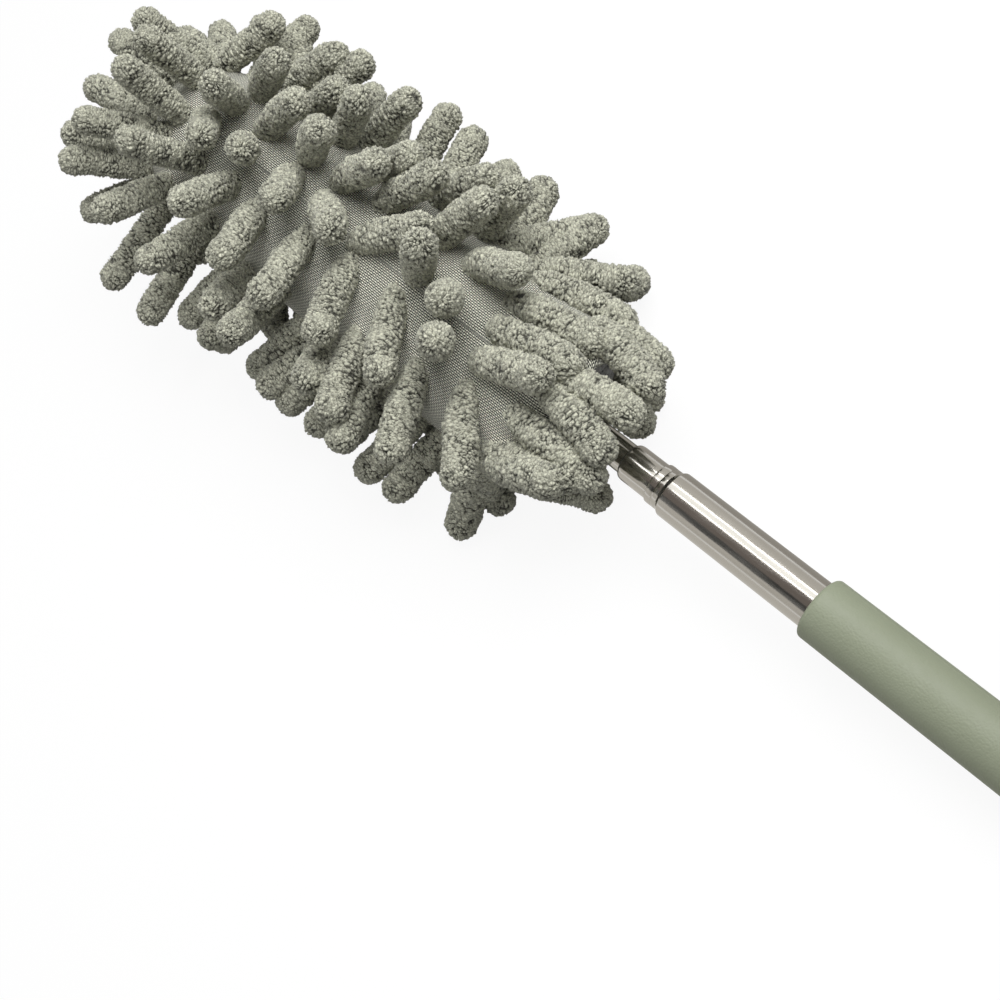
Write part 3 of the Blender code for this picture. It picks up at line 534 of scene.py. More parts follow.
def chenille_material():
    """Grey pile with painted shade: darker between the tufts and in the cracks between their grains, pale on
    their ends, each tuft of smaller grains that lie across the finger."""
    material, tree, shader = new_material("chenille_pile", (0.46, 0.46, 0.37), roughness=0.95)
    tuft = add_node(tree, "ShaderNodeAttribute", attribute_name="pile")
    # ramp of the pile attribute: its low end is painted shade in the creases between tufts
    grey = [(0.0, 0.05), (0.25, 0.21), (0.55, 0.60), (0.9, 0.75)]
    base = ramp(tree, tuft.outputs["Fac"], [(place, tinted(level, CHENILLE_TINT)) for place, level in grey])
    place = tree.nodes.new("ShaderNodeCombineXYZ")
    for axis in "XYZ":
        part = add_node(tree, "ShaderNodeAttribute", attribute_name="tuft_" + axis.lower())
        tree.links.new(part.outputs["Fac"], place.inputs[axis])
    curl = add_node(tree, "ShaderNodeTexNoise", Scale=1.6, Detail=1.0)
    tree.links.new(place.outputs["Vector"], curl.inputs["Vector"])
    bend = add_node(tree, "ShaderNodeVectorMath", operation="MULTIPLY_ADD")
    tree.links.new(curl.outputs["Color"], bend.inputs[0])
    bend.inputs[1].default_value = (GRAIN_BEND, GRAIN_BEND, GRAIN_BEND)
    tree.links.new(place.outputs["Vector"], bend.inputs[2])
    edge = add_node(tree, "ShaderNodeTexVoronoi", Scale=GRAINS_IN_TUFT, feature="DISTANCE_TO_EDGE")
    grain = add_node(tree, "ShaderNodeTexVoronoi", Scale=GRAINS_IN_TUFT)
    for node in (edge, grain):
        tree.links.new(bend.outputs["Vector"], node.inputs["Vector"])
    # painted shade in the cracks between the grains of each tuft
    painted_crack_shade = ramp(tree, edge.outputs["Distance"], [(0.0, 0.42), (0.09, 0.80), (0.22, 1.0)])
    own = ramp(tree, grain.outputs["Color"], [(0.2, 0.88), (0.8, 1.0)])
    cloud = ramp(tree, object_noise(tree, scale=55.0), [(0.3, 0.92), (0.7, 1.0)])
    colour = product(tree, product(tree, product(tree, base, painted_crack_shade), own), cloud)
    tree.links.new(colour, shader.inputs["Base Color"])
    shader.inputs["Sheen Weight"].default_value = 0.20
    shader.inputs["Sheen Roughness"].default_value = 0.4
    shader.inputs["Specular IOR Level"].default_value = 0.2
    height = ramp(tree, edge.outputs["Distance"], [(0.0, 0.0), (0.12, 0.6), (0.4, 1.0)])
    bump(tree, shader, height, strength=0.6, distance=0.0003)
    return material


def wave(tree, along, across, turns_along, turns_across):
    """Cosine of a wave over two lengths in millimetres, from its turns for each millimetre."""
    first = add_node(tree, "ShaderNodeMath", operation="MULTIPLY")
    first.inputs[1].default_value = 2 * math.pi * turns_along
    tree.links.new(along, first.inputs[0])
    both = add_node(tree, "ShaderNodeMath", operation="MULTIPLY_ADD")
    both.inputs[1].default_value = 2 * math.pi * turns_across
    tree.links.new(across, both.inputs[0])
    tree.links.new(first.outputs["Value"], both.inputs[2])
    cosine = add_node(tree, "ShaderNodeMath", operation="COSINE")
    tree.links.new(both.outputs["Value"], cosine.inputs[0])
    return cosine.outputs["Value"]


def knit_material():
    """Fine mesh knit: slanting pale stitches in staggered rows over holes painted dark as painted shade."""
    material, tree, shader = new_material("mesh_knit", (0.42, 0.42, 0.35), roughness=0.7)
    across = add_node(tree, "ShaderNodeAttribute", attribute_name="knit_across").outputs["Fac"]
    length = add_node(tree, "ShaderNodeAttribute", attribute_name="knit_along").outputs["Fac"]
    stitch = 1 / STITCH_LENGTH
    row = 1 / STITCH_ROW
    slip = STITCH_SLIP * row
    waves = ((0.80, 0.0, row), (0.38, stitch, -slip), (0.20, stitch, row - slip),
             (0.50, 2 * stitch, row - 2 * slip))
    total = None
    for share, turns_along, turns_across in waves:
        part = add_node(tree, "ShaderNodeMath", operation="MULTIPLY_ADD")
        part.inputs[1].default_value = share
        part.inputs[2].default_value = 0.0
        tree.links.new(wave(tree, length, across, turns_along, turns_across), part.inputs[0])
        if total is not None:
            tree.links.new(total, part.inputs[2])
        total = part.outputs["Value"]
    height = add_node(tree, "ShaderNodeMapRange", From_Min=-0.95, From_Max=0.95)
    tree.links.new(total, height.inputs["Value"])
    # painted shade: the low end of the ramp paints the holes between the stitches near black
    level = [(place, tinted(grey, KNIT_TINT)) for place, grey in ((0.25, 0.02), (0.50, 0.31), (0.72, 0.97))]
    base = ramp(tree, height.outputs["Result"], level)
    tree.links.new(base, shader.inputs["Base Color"])
    below = bump(tree, shader, height.outputs["Result"], strength=0.8, distance=0.0004)
    yarn = object_noise(tree, scale=900.0)
    bump(tree, shader, yarn, strength=0.25, distance=0.0003, below=below)
    shader.inputs["Sheen Weight"].default_value = 0.15
    return material


def steel_material():
    """Polished stainless steel with faint lines that run lengthwise."""
    material, tree, shader = new_material("polished_steel", (0.56, 0.54, 0.50), roughness=0.16, metallic=1.0)
    lines = object_noise(tree, scale=900.0, detail=2.0, stretch=(0.02, 1.0, 1.0))
    rough = ramp(tree, lines, [(0.3, 0.11), (0.7, 0.20)])
    tree.links.new(rough, shader.inputs["Roughness"])
    bump(tree, shader, lines, strength=0.04, distance=0.0002)
    return material


def grip_material():
    """Sage green plastic with a fine leather grain."""
    material, tree, shader = new_material("sage_plastic", (0.267, 0.295, 0.207), roughness=0.55)
    place = tree.nodes.new("ShaderNodeTexCoord")
    grain = add_node(tree, "ShaderNodeTexVoronoi", Scale=1500.0, feature="SMOOTH_F1")
    tree.links.new(place.outputs["Object"], grain.inputs["Vector"])
    below = bump(tree, shader, grain.outputs["Distance"], strength=0.35, distance=0.0003)
    fine = object_noise(tree, scale=1300.0)
    bump(tree, shader, fine, strength=0.3, distance=0.0002, below=below)
    cloud = object_noise(tree, scale=30.0)
    base = ramp(tree, cloud, [(0.3, (0.257, 0.284, 0.198)), (0.7, (0.277, 0.306, 0.216))])
    tree.links.new(base, shader.inputs["Base Color"])
    rough = ramp(tree, object_noise(tree, scale=400.0), [(0.3, 0.48), (0.7, 0.60)])
    tree.links.new(rough, shader.inputs["Roughness"])
    return material


def plain_material(name, colour, roughness, metallic=0.0, grain=800.0, depth=0.12):
    """A moulded or drawn surface with a fine grain of its own."""
    material, tree, shader = new_material(name, colour, roughness, metallic)
    noise = object_noise(tree, grain)
    rough = ramp(tree, noise, [(0.3, roughness * 0.85), (0.7, min(1.0, roughness * 1.15))])
    tree.links.new(rough, shader.inputs["Roughness"])
    bump(tree, shader, noise, strength=depth, distance=0.0002)
    return material


def foam_material():
    """Open-cell foam with its pores painted dark as painted shade."""
    material, tree, shader = new_material("grey_foam", (0.45, 0.45, 0.44), roughness=0.95)
    place = tree.nodes.new("ShaderNodeTexCoord")
    cells = add_node(tree, "ShaderNodeTexVoronoi", Scale=950.0)
    tree.links.new(place.outputs["Object"], cells.inputs["Vector"])
    # dark pores: painted shade in the foam's dimpled cells
    base = ramp(tree, cells.outputs["Distance"], [(0.1, (0.20, 0.20, 0.195)), (0.5, (0.47, 0.47, 0.46))])
    tree.links.new(base, shader.inputs["Base Color"])
    bump(tree, shader, cells.outputs["Distance"], strength=0.7, distance=0.0006)
    return material


# Head

def head_share(station):
    """Share of the full section at a distance from the cover's mouth."""
    straight = HEAD_LENGTH - FRONT_ROUND
    t = np.clip((station - straight) / FRONT_ROUND, 0, 1)
    share = np.sqrt(np.maximum(0.0, 1.0 - t * t))
    mouth = 1.0 - HEM_SHRINK * (1.0 - np.clip(station / HEM_ROUND, 0, 1)) ** 2
    return np.where(station < HEM_ROUND, mouth, share)


def cover_point(station, angle):
    """Point on the cover's outside and its outward normal."""
    step = 0.0005
    share = float(head_share(station))
    slope = float(head_share(station + step) - head_share(station - step)) / (2 * step)
    y = COVER_HALF_WIDTH * math.sin(angle)
    z = COVER_HALF_HEIGHT * math.cos(angle)
    across = Vector((0, COVER_HALF_WIDTH * math.cos(angle), -COVER_HALF_HEIGHT * math.sin(angle)))
    normal = across.cross(Vector((1, y * slope, z * slope))).normalized()
    if normal.y * y + normal.z * z < 0:
        normal = -normal
    return Vector((HEAD_START + station, y * share, z * share)), normal


def table_height(x):
    """Height of the table's surface in the pole's frame, below the axis at x."""
    corner_x = -GRIP_LENGTH - GAP - CAP_FLANGE + GRIP_EDGE
    drop = (GRIP_RADIUS - GRIP_EDGE) + GRIP_EDGE / math.cos(POLE_RISE)
    return -drop - (x - corner_x) * math.tan(POLE_RISE)


def leaning(station_share, angle_deg, forward_deg, round_deg, length):
    """Root point, root normal and end point of a finger that leans by the given angles."""
    root, normal = cover_point(HEAD_LENGTH * station_share / 1000, math.radians(angle_deg))
    out = Vector((0, normal.y, normal.z)).normalized()
    side = Vector((0, out.z, -out.y))
    forward = math.radians(forward_deg)
    turn = math.radians(round_deg)
    way = out * math.cos(turn) + side * math.sin(turn)
    direction = way * math.cos(forward) + Vector((1, 0, 0)) * math.sin(forward)
    return root, normal, root + direction * length


def under_fingers(angle, first, back, outer):
    """One row of fingers under the head, splayed on the table."""
    paths = []
    station = first
    while station < HEAD_LENGTH - UNDER_END_GAP:
        carries = outer and station > UNDER_CARRY
        lowest = FINGER_RADIUS + (-UNDER_PRESS if carries else UNDER_LIFT)
        root, normal = cover_point(station, angle)
        side = 1.0 if math.sin(angle) > 0 else -1.0
        sweep = (UNDER_SWEEP_FRONT + back) * station / HEAD_LENGTH - back
        flat = Vector((sweep, side, 0.0)).normalized()
        reach = FINGER_LENGTH - FINGER_RADIUS
        room = root.z - table_height(root.x + flat.x * reach) - lowest
        drop = min(-normal.z, room / reach)
        direction = flat * math.sqrt(1.0 - drop * drop) - Vector((0, 0, drop))
        paths.append((root, normal, root + direction * FINGER_LENGTH))
        station += UNDER_PITCH
    return paths


def finger_paths():
    """Root point, root normal and end point of each finger, sorted along the head."""
    paths = [leaning(*row, FINGER_LENGTH) for row in TOP_FINGERS + LEFT_FINGERS + RIGHT_FINGERS]
    paths += [leaning(*row, LONG_FINGER_LENGTH) for row in LONG_FINGERS]
    for angle_deg, first, back in UNDER_ROWS:
        outer = angle_deg in (UNDER_ROWS[0][0], UNDER_ROWS[-1][0])
        paths += under_fingers(math.radians(angle_deg), first, back, outer)
    return sorted(paths, key=lambda path: path[0].x)


def centre_line(root, normal, end, number):
    """Centre points and directions along a finger: it leaves the cover leaning and runs straight out."""
    direction = (end - root).normalized()
    rise = (normal + direction).normalized()
    start = root - rise * FINGER_SINK
    tip = end - direction * FINGER_RADIUS
    length = (tip - start).length
    leave = rise * length * FINGER_LEAVE
    arrive = direction * length
    count = int(length / FINGER_STEP)
    t = np.linspace(0, 1, count)[:, None]
    a, b, c, d = (np.array(v) for v in (start, leave, tip, arrive))
    points = (2 * t**3 - 3 * t**2 + 1) * a + (t**3 - 2 * t**2 + t) * b
    points += (-2 * t**3 + 3 * t**2) * c + (t**3 - t**2) * d
    sway = 2 * math.pi * hashed(np.array([number, 0, 0]), 11)
    u = np.array(direction.orthogonal().normalized())
    v = np.cross(np.array(direction), u)
    bend = u * math.cos(sway) + v * math.sin(sway)
    points += np.sin(2 * math.pi * t**FINGER_BEND_POWER) * FINGER_BEND * bend
    ways = np.gradient(points, axis=0)
    return points, ways / np.linalg.norm(ways, axis=1)[:, None]


def finger_skin(points, ways, thick):
    """Points of a finger's smooth skin, their outward directions, and their places counted in tufts."""
    turn = 2 * math.pi * np.arange(FINGER_SIDES) / FINGER_SIDES
    flat = np.stack([np.cos(turn), np.sin(turn)], axis=1)
    u = np.array(Vector(ways[0]).orthogonal().normalized())
    rings = []
    normals = []
    places = []
    count = len(points)
    for i in range(count + FINGER_CAP_STEPS - 1):
        k = min(i, count - 1)
        way = ways[k]
        u = u - way * np.dot(u, way)
        u /= np.linalg.norm(u)
        v = np.cross(way, u)
        out = np.cos(turn)[:, None] * u + np.sin(turn)[:, None] * v
        lift = math.pi / 2 * max(0, i - count + 1) / FINGER_CAP_STEPS
        share = min(1.0, i / (count - 1))
        grown = float(smooth_step(share, *PILE_ROOT_RANGE))
        radius = thick * (PILE_ROOT_SHARE + (1 - PILE_ROOT_SHARE) * grown)
        normal = out * math.cos(lift) + way * math.sin(lift)
        rings.append(points[k] + normal * radius)
        normals.append(normal)
        rounding = smooth_step(share + lift / PILE_TIP_TURN, *PILE_TIP_RANGE)
        tuft = PILE_TUFT_LONG + (PILE_TUFT_TIP - PILE_TUFT_LONG) * rounding
        along = k * FINGER_STEP / PILE_TUFT_SHORT + radius * math.sin(lift) / PILE_TUFT_TIP
        around = flat * radius * math.cos(lift) / tuft
        places.append(np.column_stack([around, np.full(FINGER_SIDES, along)]))
    rings += [(points[-1] + ways[-1] * thick)[None, :], points[0][None, :]]
    normals += [ways[-1][None, :], -ways[0][None, :]]
    places += [np.array([[0.0, 0.0, (count * FINGER_STEP + thick) / PILE_TUFT_SHORT]]), np.zeros((1, 3))]
    return np.concatenate(rings), np.concatenate(normals), np.concatenate(places)


def finger_mesh(path, number):
    """Points, quads, triangles, painted crease shade and tone, and pattern places of a finger, with its pile
    as real relief.
    """
    points, ways = centre_line(*path, number)
    far = (path[0].x - HEAD_START) / HEAD_LENGTH
    variety = PILE_VARIETY * float(hashed(np.array([number, 1, 0]), 12))
    thick = PILE_RADIUS * (PILE_FULL_SHARE - PILE_THINNING * far + variety)
    skin, outward, places = finger_skin(points, ways, thick)
    spots = places + number * PATTERN_SHIFT
    height, tone_and_painted_shade = pile(spots)
    height[-1] = 0.0
    surface = skin + outward * height[:, None]
    rings = len(points) + FINGER_CAP_STEPS - 1
    quads = ring_faces(0, rings, FINGER_SIDES)
    end = fan_faces(len(surface) - 2, (rings - 1) * FINGER_SIDES, FINGER_SIDES, False)
    base = fan_faces(len(surface) - 1, 0, FINGER_SIDES, True)
    return surface, quads, np.concatenate([end, base]), tone_and_painted_shade, spots


def pile(places):
    """Height of the chenille's tufts over the core yarn, and how pale each point is: painted shade that
    darkens the creases between tufts and the fine creases in them, a painted highlight on the tipward side
    of each tuft, and tone that varies at random. The places are counted in tufts, so that tufts lie across
    the finger and are short along it."""
    warp = np.stack([soft_noise(places, WARP_SIZE, salt) for salt in (21, 22, 23)], axis=1)
    near, second, own, ahead = cells_noise(places + warp * WARP_REACH, 31)
    fine_places = places * FINE_CELLS_IN_TUFT + warp * FINE_WARP_REACH
    fine_near, fine_second, fine_own, _ = cells_noise(fine_places, 61)
    hollow = smooth_step(soft_noise(places, HOLLOW_SIZE, 71), *HOLLOW_RANGE)
    deep = HOLLOW_LEAST + (1 - HOLLOW_LEAST) * hollow
    dome = DOME_LEAST + (1 - DOME_LEAST) * np.clip(DOME_TOP - DOME_FALL * near, 0, 1)
    crease = 1 - deep * (1 - dome * smooth_step(second - near, 0.0, CREASE_WIDTH))
    fine = smooth_step(fine_second - fine_near, 0.0, FINE_CREASE_WIDTH)
    lump = soft_noise(places, LUMP_SIZE, 41)
    tilt = np.clip(ahead, -TILT_LIMIT, TILT_LIMIT) * PILE_TILT
    height = crease * (PILE_DEPTH + (2 * own - 1) * PILE_SPREAD + tilt)
    height += lump * PILE_LUMP + fine * PILE_FINE
    # painted shade: the colour darkens with the crease between tufts and with the fine creases, and the
    # tipward side of each tuft gets a painted highlight; own, fine_own and lump vary the tone at random
    tone_and_painted_shade = crease * (PALE_LEVEL + PALE_OWN * own + TIPWARD_PAINTED_HIGHLIGHT * ahead)
    tone_and_painted_shade += FINE_CREASE_PAINTED_SHADE * (fine - 0.6) + PALE_FINE_OWN * (fine_own - 0.5) + PALE_LUMP * lump
    return height, np.clip(tone_and_painted_shade, 0, 1)


def chenille_fingers(paths, material):
    """All fingers, a few in each piece along the head."""
    for group, first in enumerate(range(0, len(paths), FINGERS_IN_GROUP)):
        points = []
        quads = []
        triangles = []
        tones_and_painted_shades = []
        spots = []
        count = 0
        for number in range(first, min(first + FINGERS_IN_GROUP, len(paths))):
            surface, four, three, tone_and_painted_shade, spot = finger_mesh(paths[number], number)
            points.append(surface)
            quads.append(four + count)
            triangles.append(three + count)
            tones_and_painted_shades.append(tone_and_painted_shade)
            spots.append(spot)
            count += len(surface)
        points = np.concatenate(points)
        floor = np.array([table_height(x) for x in points[:, 0]]) + FINGER_CLEARANCE
        points[:, 2] = np.maximum(points[:, 2], floor)
        faces = [np.concatenate(quads)[:, ::-1], np.concatenate(triangles)[:, ::-1]]
        # the pile attribute carries the pile's tone with its painted crease shade and painted tuft
        # highlights
        attributes = {"pile": np.concatenate(tones_and_painted_shades)}
        attributes.update(zip(("tuft_x", "tuft_y", "tuft_z"), np.concatenate(spots).T))
        add_piece(f"chenille_fingers_{group + 1}", points, faces, material, "cover_unit", (),
                  attributes)


def knit_outside(paths, stations, turn):
    """Points of the knit's outer side, with the station and the turn of each."""
    s = np.repeat(stations, KNIT_SIDES)
    a = np.tile(turn, len(stations))
    share = head_share(s)
    base = np.stack([HEAD_START + s, COVER_HALF_WIDTH * share * np.sin(a),
                     COVER_HALF_HEIGHT * share * np.cos(a)], axis=1)
    grid = base.reshape(len(stations), KNIT_SIDES, 3)
    du = np.roll(grid, -1, axis=1) - np.roll(grid, 1, axis=1)
    dv = np.gradient(grid, axis=0)
    normal = np.cross(dv.reshape(-1, 3), du.reshape(-1, 3))
    normal /= np.maximum(np.linalg.norm(normal, axis=1), 1e-12)[:, None]
    outward = np.sum(normal[:, 1:] * base[:, 1:], axis=1)
    normal *= np.where(outward < 0, -1.0, 1.0)[:, None]
    lift = np.zeros(len(base))
    for root, _, _ in paths:
        away = np.linalg.norm(base - np.array(root), axis=1)
        lift = np.maximum(lift, TENT_HEIGHT * np.exp(-(away / TENT_WIDTH) ** TENT_POWER))
    slack = soft_noise(base, SLACK_SIZE, 51) * SLACK_HEIGHT
    slack += soft_noise(base, FINE_SLACK_SIZE, 52) * FINE_SLACK_HEIGHT
    wander = PLEAT_WANDER * soft_noise(base, PLEAT_WANDER_SIZE, 53)
    pleat = np.sin(HEM_PLEATS * a + wander) * PLEAT_HEIGHT * np.exp(-s / PLEAT_REACH)
    seam = np.zeros(len(base))
    for place in SEAM_PLACES:
        seam += SEAM_HEIGHT * np.exp(-(((np.degrees(a) % 360) - place) / SEAM_WIDTH) ** 2)
    seam *= s < HEAD_LENGTH - FRONT_ROUND
    return base + normal * (lift + slack + pleat + seam)[:, None], s, a


def knit_inside(turn):
    """Points of the knit's inner side, from the tip back to the turned hem, with the station of each."""
    straight = HEAD_LENGTH - FRONT_ROUND
    front = FRONT_ROUND - COVER_WALL
    stations = [HEM_INSIDE] + list(np.arange(2 * HEM_INSIDE, straight, INSIDE_STEP))
    stations += [straight + front * math.sin(math.pi / 2 * i / INSIDE_FRONT_STEPS)
                 for i in range(INSIDE_FRONT_STEPS)]
    rings = []
    for station in reversed(stations):
        t = max(0.0, (station - straight) / front)
        scale = math.sqrt(max(0.0, 1 - t * t))
        rings.append((station, (COVER_HALF_WIDTH - COVER_WALL) * scale,
                      (COVER_HALF_HEIGHT - COVER_WALL) * scale))
    for station, scale in reversed(HEM_EDGE):
        rings.append((station, COVER_HALF_WIDTH * scale, COVER_HALF_HEIGHT * scale))
    points = []
    for station, half_width, half_height in rings:
        fade = math.exp(-max(0.0, station) / RIPPLE_REACH)
        ripple = 1 + RIPPLE_SHARE * np.sin(HEM_PLEATS * turn) * fade
        x = np.full(KNIT_SIDES, HEAD_START + station)
        y = half_width * ripple * np.sin(turn)
        z = half_height * ripple * np.cos(turn)
        points.append(np.stack([x, y, z], axis=1))
    return np.concatenate(points), np.repeat([ring[0] for ring in rings], KNIT_SIDES)


def knit_sleeve(paths, material):
    """The cover's knit backing: drawn up to each finger, pleated at the hem, with a seam on each side."""
    straight = HEAD_LENGTH - FRONT_ROUND
    stations = list(np.arange(0.0, straight, KNIT_STEP))
    count = int(FRONT_ROUND * KNIT_FRONT_DENSITY / KNIT_STEP)
    stations += [straight + FRONT_ROUND * math.sin(math.pi / 2 * i / count) for i in range(count)]
    turn = 2 * math.pi * np.arange(KNIT_SIDES) / KNIT_SIDES
    outside, outer_stations, outer_turns = knit_outside(paths, np.array(stations), turn)
    inside, inner_stations = knit_inside(turn)
    total = (len(inside) + len(outside)) // KNIT_SIDES
    inner_tip = total * KNIT_SIDES
    tips = [[HEAD_START + HEAD_LENGTH - COVER_WALL, 0, 0], [HEAD_START + HEAD_LENGTH, 0, 0]]
    points = np.concatenate([inside, outside, tips])
    inner_turns = np.tile(turn, len(inside) // KNIT_SIDES)
    across = np.degrees(np.concatenate([inner_turns, outer_turns, np.zeros(2)])) / 360 * KNIT_ROUND
    length = np.concatenate([-inner_stations, outer_stations, [0.0, HEAD_LENGTH]]) * 1000
    quads = ring_faces(0, total, KNIT_SIDES)
    ends = np.concatenate([fan_faces(inner_tip, 0, KNIT_SIDES, True),
                           fan_faces(inner_tip + 1, (total - 1) * KNIT_SIDES, KNIT_SIDES, False)])
    add_piece("knit_sleeve", points, [quads[:, ::-1], ends[:, ::-1]], material, "cover_unit",
              ("chenille_cover", "hem_elastic"), {"knit_across": across, "knit_along": length})


def foam_pieces(material):
    """The two halves of the foam core, softened from their solids."""
    for name in ("foam_core_upper", "foam_core_lower"):
        piece = softened(name, name + "_soft", FOAM_VOXEL, FOAM_ROUNDS, material, "head_unit")


# Pole and handle

def outer_tube(material):
    """Fixed tube with a drawn-in neck, a groove round it and a rounded lip."""
    bore = OUTER_RADIUS - OUTER_WALL
    lip = MIDDLE_RADIUS + SLIDE_GAP
    neck = OUTER_FRONT - NECK_LENGTH
    shoulder = neck - SHOULDER_LENGTH
    edge = (NECK_RADIUS - lip) / 2
    drop = OUTER_RADIUS - NECK_RADIUS
    profile = [(-OUTER_TAIL, OUTER_RADIUS)] + along(-OUTER_TAIL, shoulder, OUTER_RADIUS)
    for i in range(SHOULDER_STEPS + 1):
        t = i / SHOULDER_STEPS
        profile.append((shoulder + SHOULDER_LENGTH * t, OUTER_RADIUS - drop * t * t * (3 - 2 * t)))
    groove = neck + GROOVE_PLACE
    for off, depth in ((-GROOVE_HALF_WIDTH, 0.0), (-GROOVE_BED, GROOVE_EDGE_DEPTH), (0.0, GROOVE_DEPTH),
                       (GROOVE_BED, GROOVE_EDGE_DEPTH), (GROOVE_HALF_WIDTH, 0.0)):
        profile.append((groove + off, NECK_RADIUS - depth))
    profile.append((OUTER_FRONT - LIP_LENGTH, NECK_RADIUS + LIP_FLARE))
    profile += arc(OUTER_FRONT - edge, NECK_RADIUS - edge, edge, 90, -90)
    profile += [(neck - OUTER_WALL, lip), (shoulder - OUTER_WALL, bore), (-OUTER_TAIL, bore)]
    turned("outer_tube_polished", profile, material, "handle_unit", ("outer_tube",))


def moving_tube(name, radius, wall, front, tail, next_radius, bead_radius, material, body, node):
    """A sliding tube with its bead, and with a mouth drawn in round the next tube if one runs in it."""
    bore = radius - wall
    bead = -tail + SLEEVE_LENGTH + 3 * SLIDE_GAP
    profile = [(-tail, radius)] + along(-tail, bead, radius) + [(bead, radius), (bead, bead_radius)]
    profile += [(bead + BEAD_LENGTH, bead_radius), (bead + BEAD_LENGTH, radius)]
    if next_radius:
        lip = next_radius + SLIDE_GAP
        start = front - MOUTH_ROUND
        drop = radius - lip - wall / 2
        profile += along(bead + BEAD_LENGTH, start, radius)
        for i in range(MOUTH_STEPS + 1):
            turn = math.radians(90 * i / MOUTH_STEPS)
            profile.append((start + MOUTH_ROUND * math.sin(turn), radius - drop * (1 - math.cos(turn))))
        profile += [(front, lip), (start, lip), (start - MOUTH_ROUND, bore)]
    else:
        profile += along(bead + BEAD_LENGTH, front, radius) + [(front, radius), (front, bore)]
    profile += [(-tail, bore)]
    turned(name, profile, material, body, (node,))


def grip(material):
    """Moulded handle sleeve with a rounded front edge and its parting line."""
    bore = OUTER_RADIUS + GAP
    rear = -GRIP_LENGTH
    edge = GRIP_EDGE
    rear_edge = GRIP_EDGE / 3
    profile = [(0.0, bore)] + arc(-edge, GRIP_RADIUS - edge, edge, 0, 90)
    profile += along(-edge, rear + rear_edge, GRIP_RADIUS)
    profile += arc(rear + rear_edge, GRIP_RADIUS - rear_edge, rear_edge, 90, 180, 4) + [(rear, bore)]

    def parting(x, turn, radius):
        ridge = np.zeros(len(x))
        for place in (PARTING_ANGLE, PARTING_ANGLE + math.pi):
            off = (turn - place + math.pi) % (2 * math.pi) - math.pi
            ridge += np.exp(-(off * GRIP_RADIUS / PARTING_WIDTH) ** 2)
        return radius + np.where(radius > GRIP_RADIUS - GRIP_SKIN, ridge * PARTING_HEIGHT, 0.0)

    turned("grip_moulded", profile, material, "handle_unit", ("handle_grip",), sides=360,
           shape=parting)


def cap(material):
    """Hanging cap, softened from its solid so that its edges are round as moulded."""
    softened("hang_cap", "hang_cap_moulded", CAP_VOXEL, CAP_ROUNDS, material, "handle_unit")


def finish_nodes():
    """Materials of the solids that stay."""
    steel = plain_material("spring_steel", (0.55, 0.55, 0.54), 0.35, 1.0, 1200.0, 0.05)
    brass = plain_material("spring_brass", (0.72, 0.55, 0.25), 0.35, 1.0, 1200.0, 0.05)
    nylon = plain_material("white_nylon", (0.80, 0.80, 0.76), 0.45)
    black = plain_material("black_plastic", (0.03, 0.03, 0.03), 0.50)
    finishes = {
        "neck_pin": steel, "core_strip": steel, "strip_rivet_1": steel, "strip_rivet_2": steel,
        "middle_friction_sleeve": brass, "inner_friction_sleeve": brass,
        "outer_tube_plug": nylon, "middle_tail_plug": nylon, "inner_tail_plug": nylon,
        "neck_socket": black, "strip_tip_cap": black,
    }
    for name, material in finishes.items():
        node = frame["nodes"][name]
        node.data.materials.clear()
        node.data.materials.append(material)


# Studio

def sight(pixel):
    """The point that the camera sees at a pixel, at a depth of 1."""
    middle = PHOTO_SIDE / 2
    return Vector(((pixel[0] - middle) / PHOTO_FOCAL, (middle - pixel[1]) / PHOTO_FOCAL, -1))


def camera():
    """The photograph's camera: it looks down the pole from above the handle."""
    ahead = sight(POLE_VANISHING).normalized()
    up = Vector((0, 0, 1)) - ahead * ahead.z
    up.normalize()
    side = up.cross(ahead)
    place = sight(HANDLE_FRONT) * HANDLE_DEPTH
    turn = Matrix((ahead, side, up))
    data = bpy.data.cameras.new("photo_camera")
    data.sensor_width = SENSOR
    data.lens = SENSOR * PHOTO_FOCAL / PHOTO_SIDE
    data.clip_start = CLIP_START
    eye = linked("photo_camera", data)
    eye.matrix_world = POLE @ Matrix.Translation(turn @ -place) @ turn.to_4x4()
    bpy.context.scene.camera = eye


def area_light(name, direction, distance, size, energy, place):
    """A soft round lamp that looks at a place along the pole from a distance."""
    data = bpy.data.lights.new(name, "AREA")
    data.shape = "DISK"
    data.size = size
    data.energy = energy
    lamp = linked(name, data)
    way = Vector(direction).normalized()
    lamp.location = POLE @ Vector((place, 0.0, 0.0)) + way * distance
    lamp.rotation_mode = "QUATERNION"
    lamp.rotation_quaternion = way.to_track_quat("Z", "Y")
    lamp.visible_camera = False


def seen_mix(tree, plain, shown):
    """Takes the shown value where a ray from the camera, a reflection or a transmission looks."""
    path = tree.nodes.new("ShaderNodeLightPath")
    first = add_node(tree, "ShaderNodeMath", operation="MAXIMUM")
    second = add_node(tree, "ShaderNodeMath", operation="MAXIMUM")
    tree.links.new(path.outputs["Is Camera Ray"], first.inputs[0])
    tree.links.new(path.outputs["Is Glossy Ray"], first.inputs[1])
    tree.links.new(first.outputs["Value"], second.inputs[0])
    tree.links.new(path.outputs["Is Transmission Ray"], second.inputs[1])
    mix = add_node(tree, "ShaderNodeMix", data_type="FLOAT")
    mix.inputs["A"].default_value = plain
    mix.inputs["B"].default_value = shown
    tree.links.new(second.outputs["Value"], mix.inputs["Factor"])
    return mix.outputs["Result"]


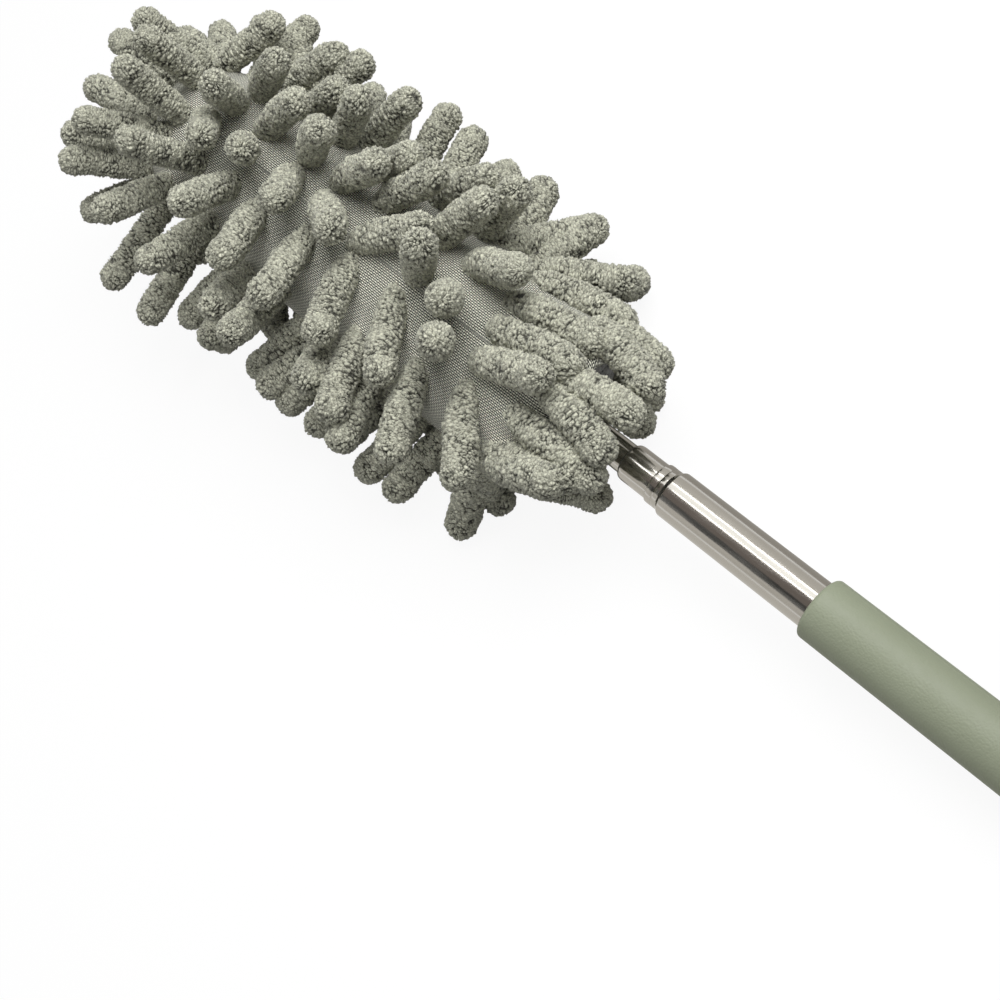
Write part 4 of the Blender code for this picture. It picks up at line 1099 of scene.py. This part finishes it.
def board(name, corners, level):
    """A plain board that only reflections see."""
    mesh = bpy.data.meshes.new(name)
    mesh.from_pydata(corners, [], [(0, 1, 2, 3)])
    material = bpy.data.materials.new(name)
    material.use_nodes = True
    tree = material.node_tree
    glow = add_node(tree, "ShaderNodeEmission", Strength=1.0)
    glow.inputs["Color"].default_value = (*level, 1.0)
    tree.links.new(glow.outputs["Emission"], tree.nodes["Material Output"].inputs["Surface"])
    mesh.materials.append(material)
    piece = linked(name, mesh)
    piece.visible_camera = False
    piece.visible_diffuse = False
    piece.visible_transmission = False
    piece.visible_volume_scatter = False
    piece.visible_shadow = False


def board_corners(near, far):
    """Place along the pole, and the near or the far value, for the four corners of a board."""
    return (BOARD_START, near), (BOARD_END, near), (BOARD_END, far), (BOARD_START, far)


def hung_board(name, near_angle, far_angle, level):
    """A board along the pole, between two angles from overhead."""
    corners = []
    for x, angle in board_corners(near_angle, far_angle):
        turn = math.radians(angle)
        corners.append(POLE @ Vector((x, BOARD_DISTANCE * math.sin(turn), BOARD_DISTANCE * math.cos(turn))))
    board(name, corners, level)


def floor_board(name, side, level):
    """A board that lies on the floor beside the pole."""
    edges = board_corners(side * FLOOR_BOARD_NEAR, side * FLOOR_BOARD_FAR)
    board(name, [(x, y, FLOOR_BOARD_HEIGHT) for x, y in edges], level)


def surroundings():
    """White all round, which looks brighter than it lights."""
    world = bpy.data.worlds.new("surroundings")
    bpy.context.scene.world = world
    world.use_nodes = True
    tree = world.node_tree
    background = tree.nodes["Background"]
    background.inputs["Color"].default_value = (1, 1, 1, 1)
    tree.links.new(seen_mix(tree, WORLD_LEVEL, BACKDROP_LEVEL), background.inputs["Strength"])


def pale_floor():
    """Pale floor that keeps the object's shadow."""
    material, tree, shader = new_material("floor", (FLOOR_GREY, FLOOR_GREY, FLOOR_GREY), roughness=1.0)
    shader.inputs["Specular IOR Level"].default_value = 0.0
    glow = add_node(tree, "ShaderNodeEmission", Strength=FLOOR_GLOW)
    mix = tree.nodes.new("ShaderNodeMixShader")
    tree.links.new(seen_mix(tree, 0.0, FLOOR_SHARE), mix.inputs["Fac"])
    tree.links.new(shader.outputs["BSDF"], mix.inputs[1])
    tree.links.new(glow.outputs["Emission"], mix.inputs[2])
    tree.links.new(mix.outputs["Shader"], tree.nodes["Material Output"].inputs["Surface"])
    mesh = bpy.data.meshes.new("floor")
    corners = [(x * FLOOR_REACH, y * FLOOR_REACH, 0) for x, y in ((-1, -1), (1, -1), (1, 1), (-1, 1))]
    mesh.from_pydata(corners, [], [(0, 1, 2, 3)])
    mesh.materials.append(material)
    floor = linked("floor", mesh)


def studio():
    """Surroundings, floor, soft lamps, and boards for the steel to reflect."""
    surroundings()
    pale_floor()
    for lamp in LAMPS:
        area_light(*lamp)
    for row in HUNG_BOARDS:
        hung_board(*row)
    for row in FLOOR_BOARDS:
        floor_board(*row)
    bpy.context.scene.view_settings.view_transform = "Standard"


def build():
    """Dresses the whole duster."""
    camera()
    studio()
    paths = finger_paths()
    steel = steel_material()
    sage = grip_material()
    chenille_fingers(paths, chenille_material())
    knit_sleeve(paths, knit_material())
    foam_pieces(foam_material())
    outer_tube(steel)
    moving_tube("middle_tube_polished", MIDDLE_RADIUS, MIDDLE_WALL, MIDDLE_FRONT, MIDDLE_TAIL, INNER_RADIUS,
                OUTER_RADIUS - OUTER_WALL - SLIDE_GAP, steel, "middle_section", "middle_tube")
    moving_tube("inner_tube_polished", INNER_RADIUS, INNER_WALL, INNER_FRONT, INNER_TAIL, 0.0,
                MIDDLE_RADIUS - MIDDLE_WALL - SLIDE_GAP, steel, "head_unit", "inner_tube")
    grip(sage)
    cap(sage)
    finish_nodes()


build()
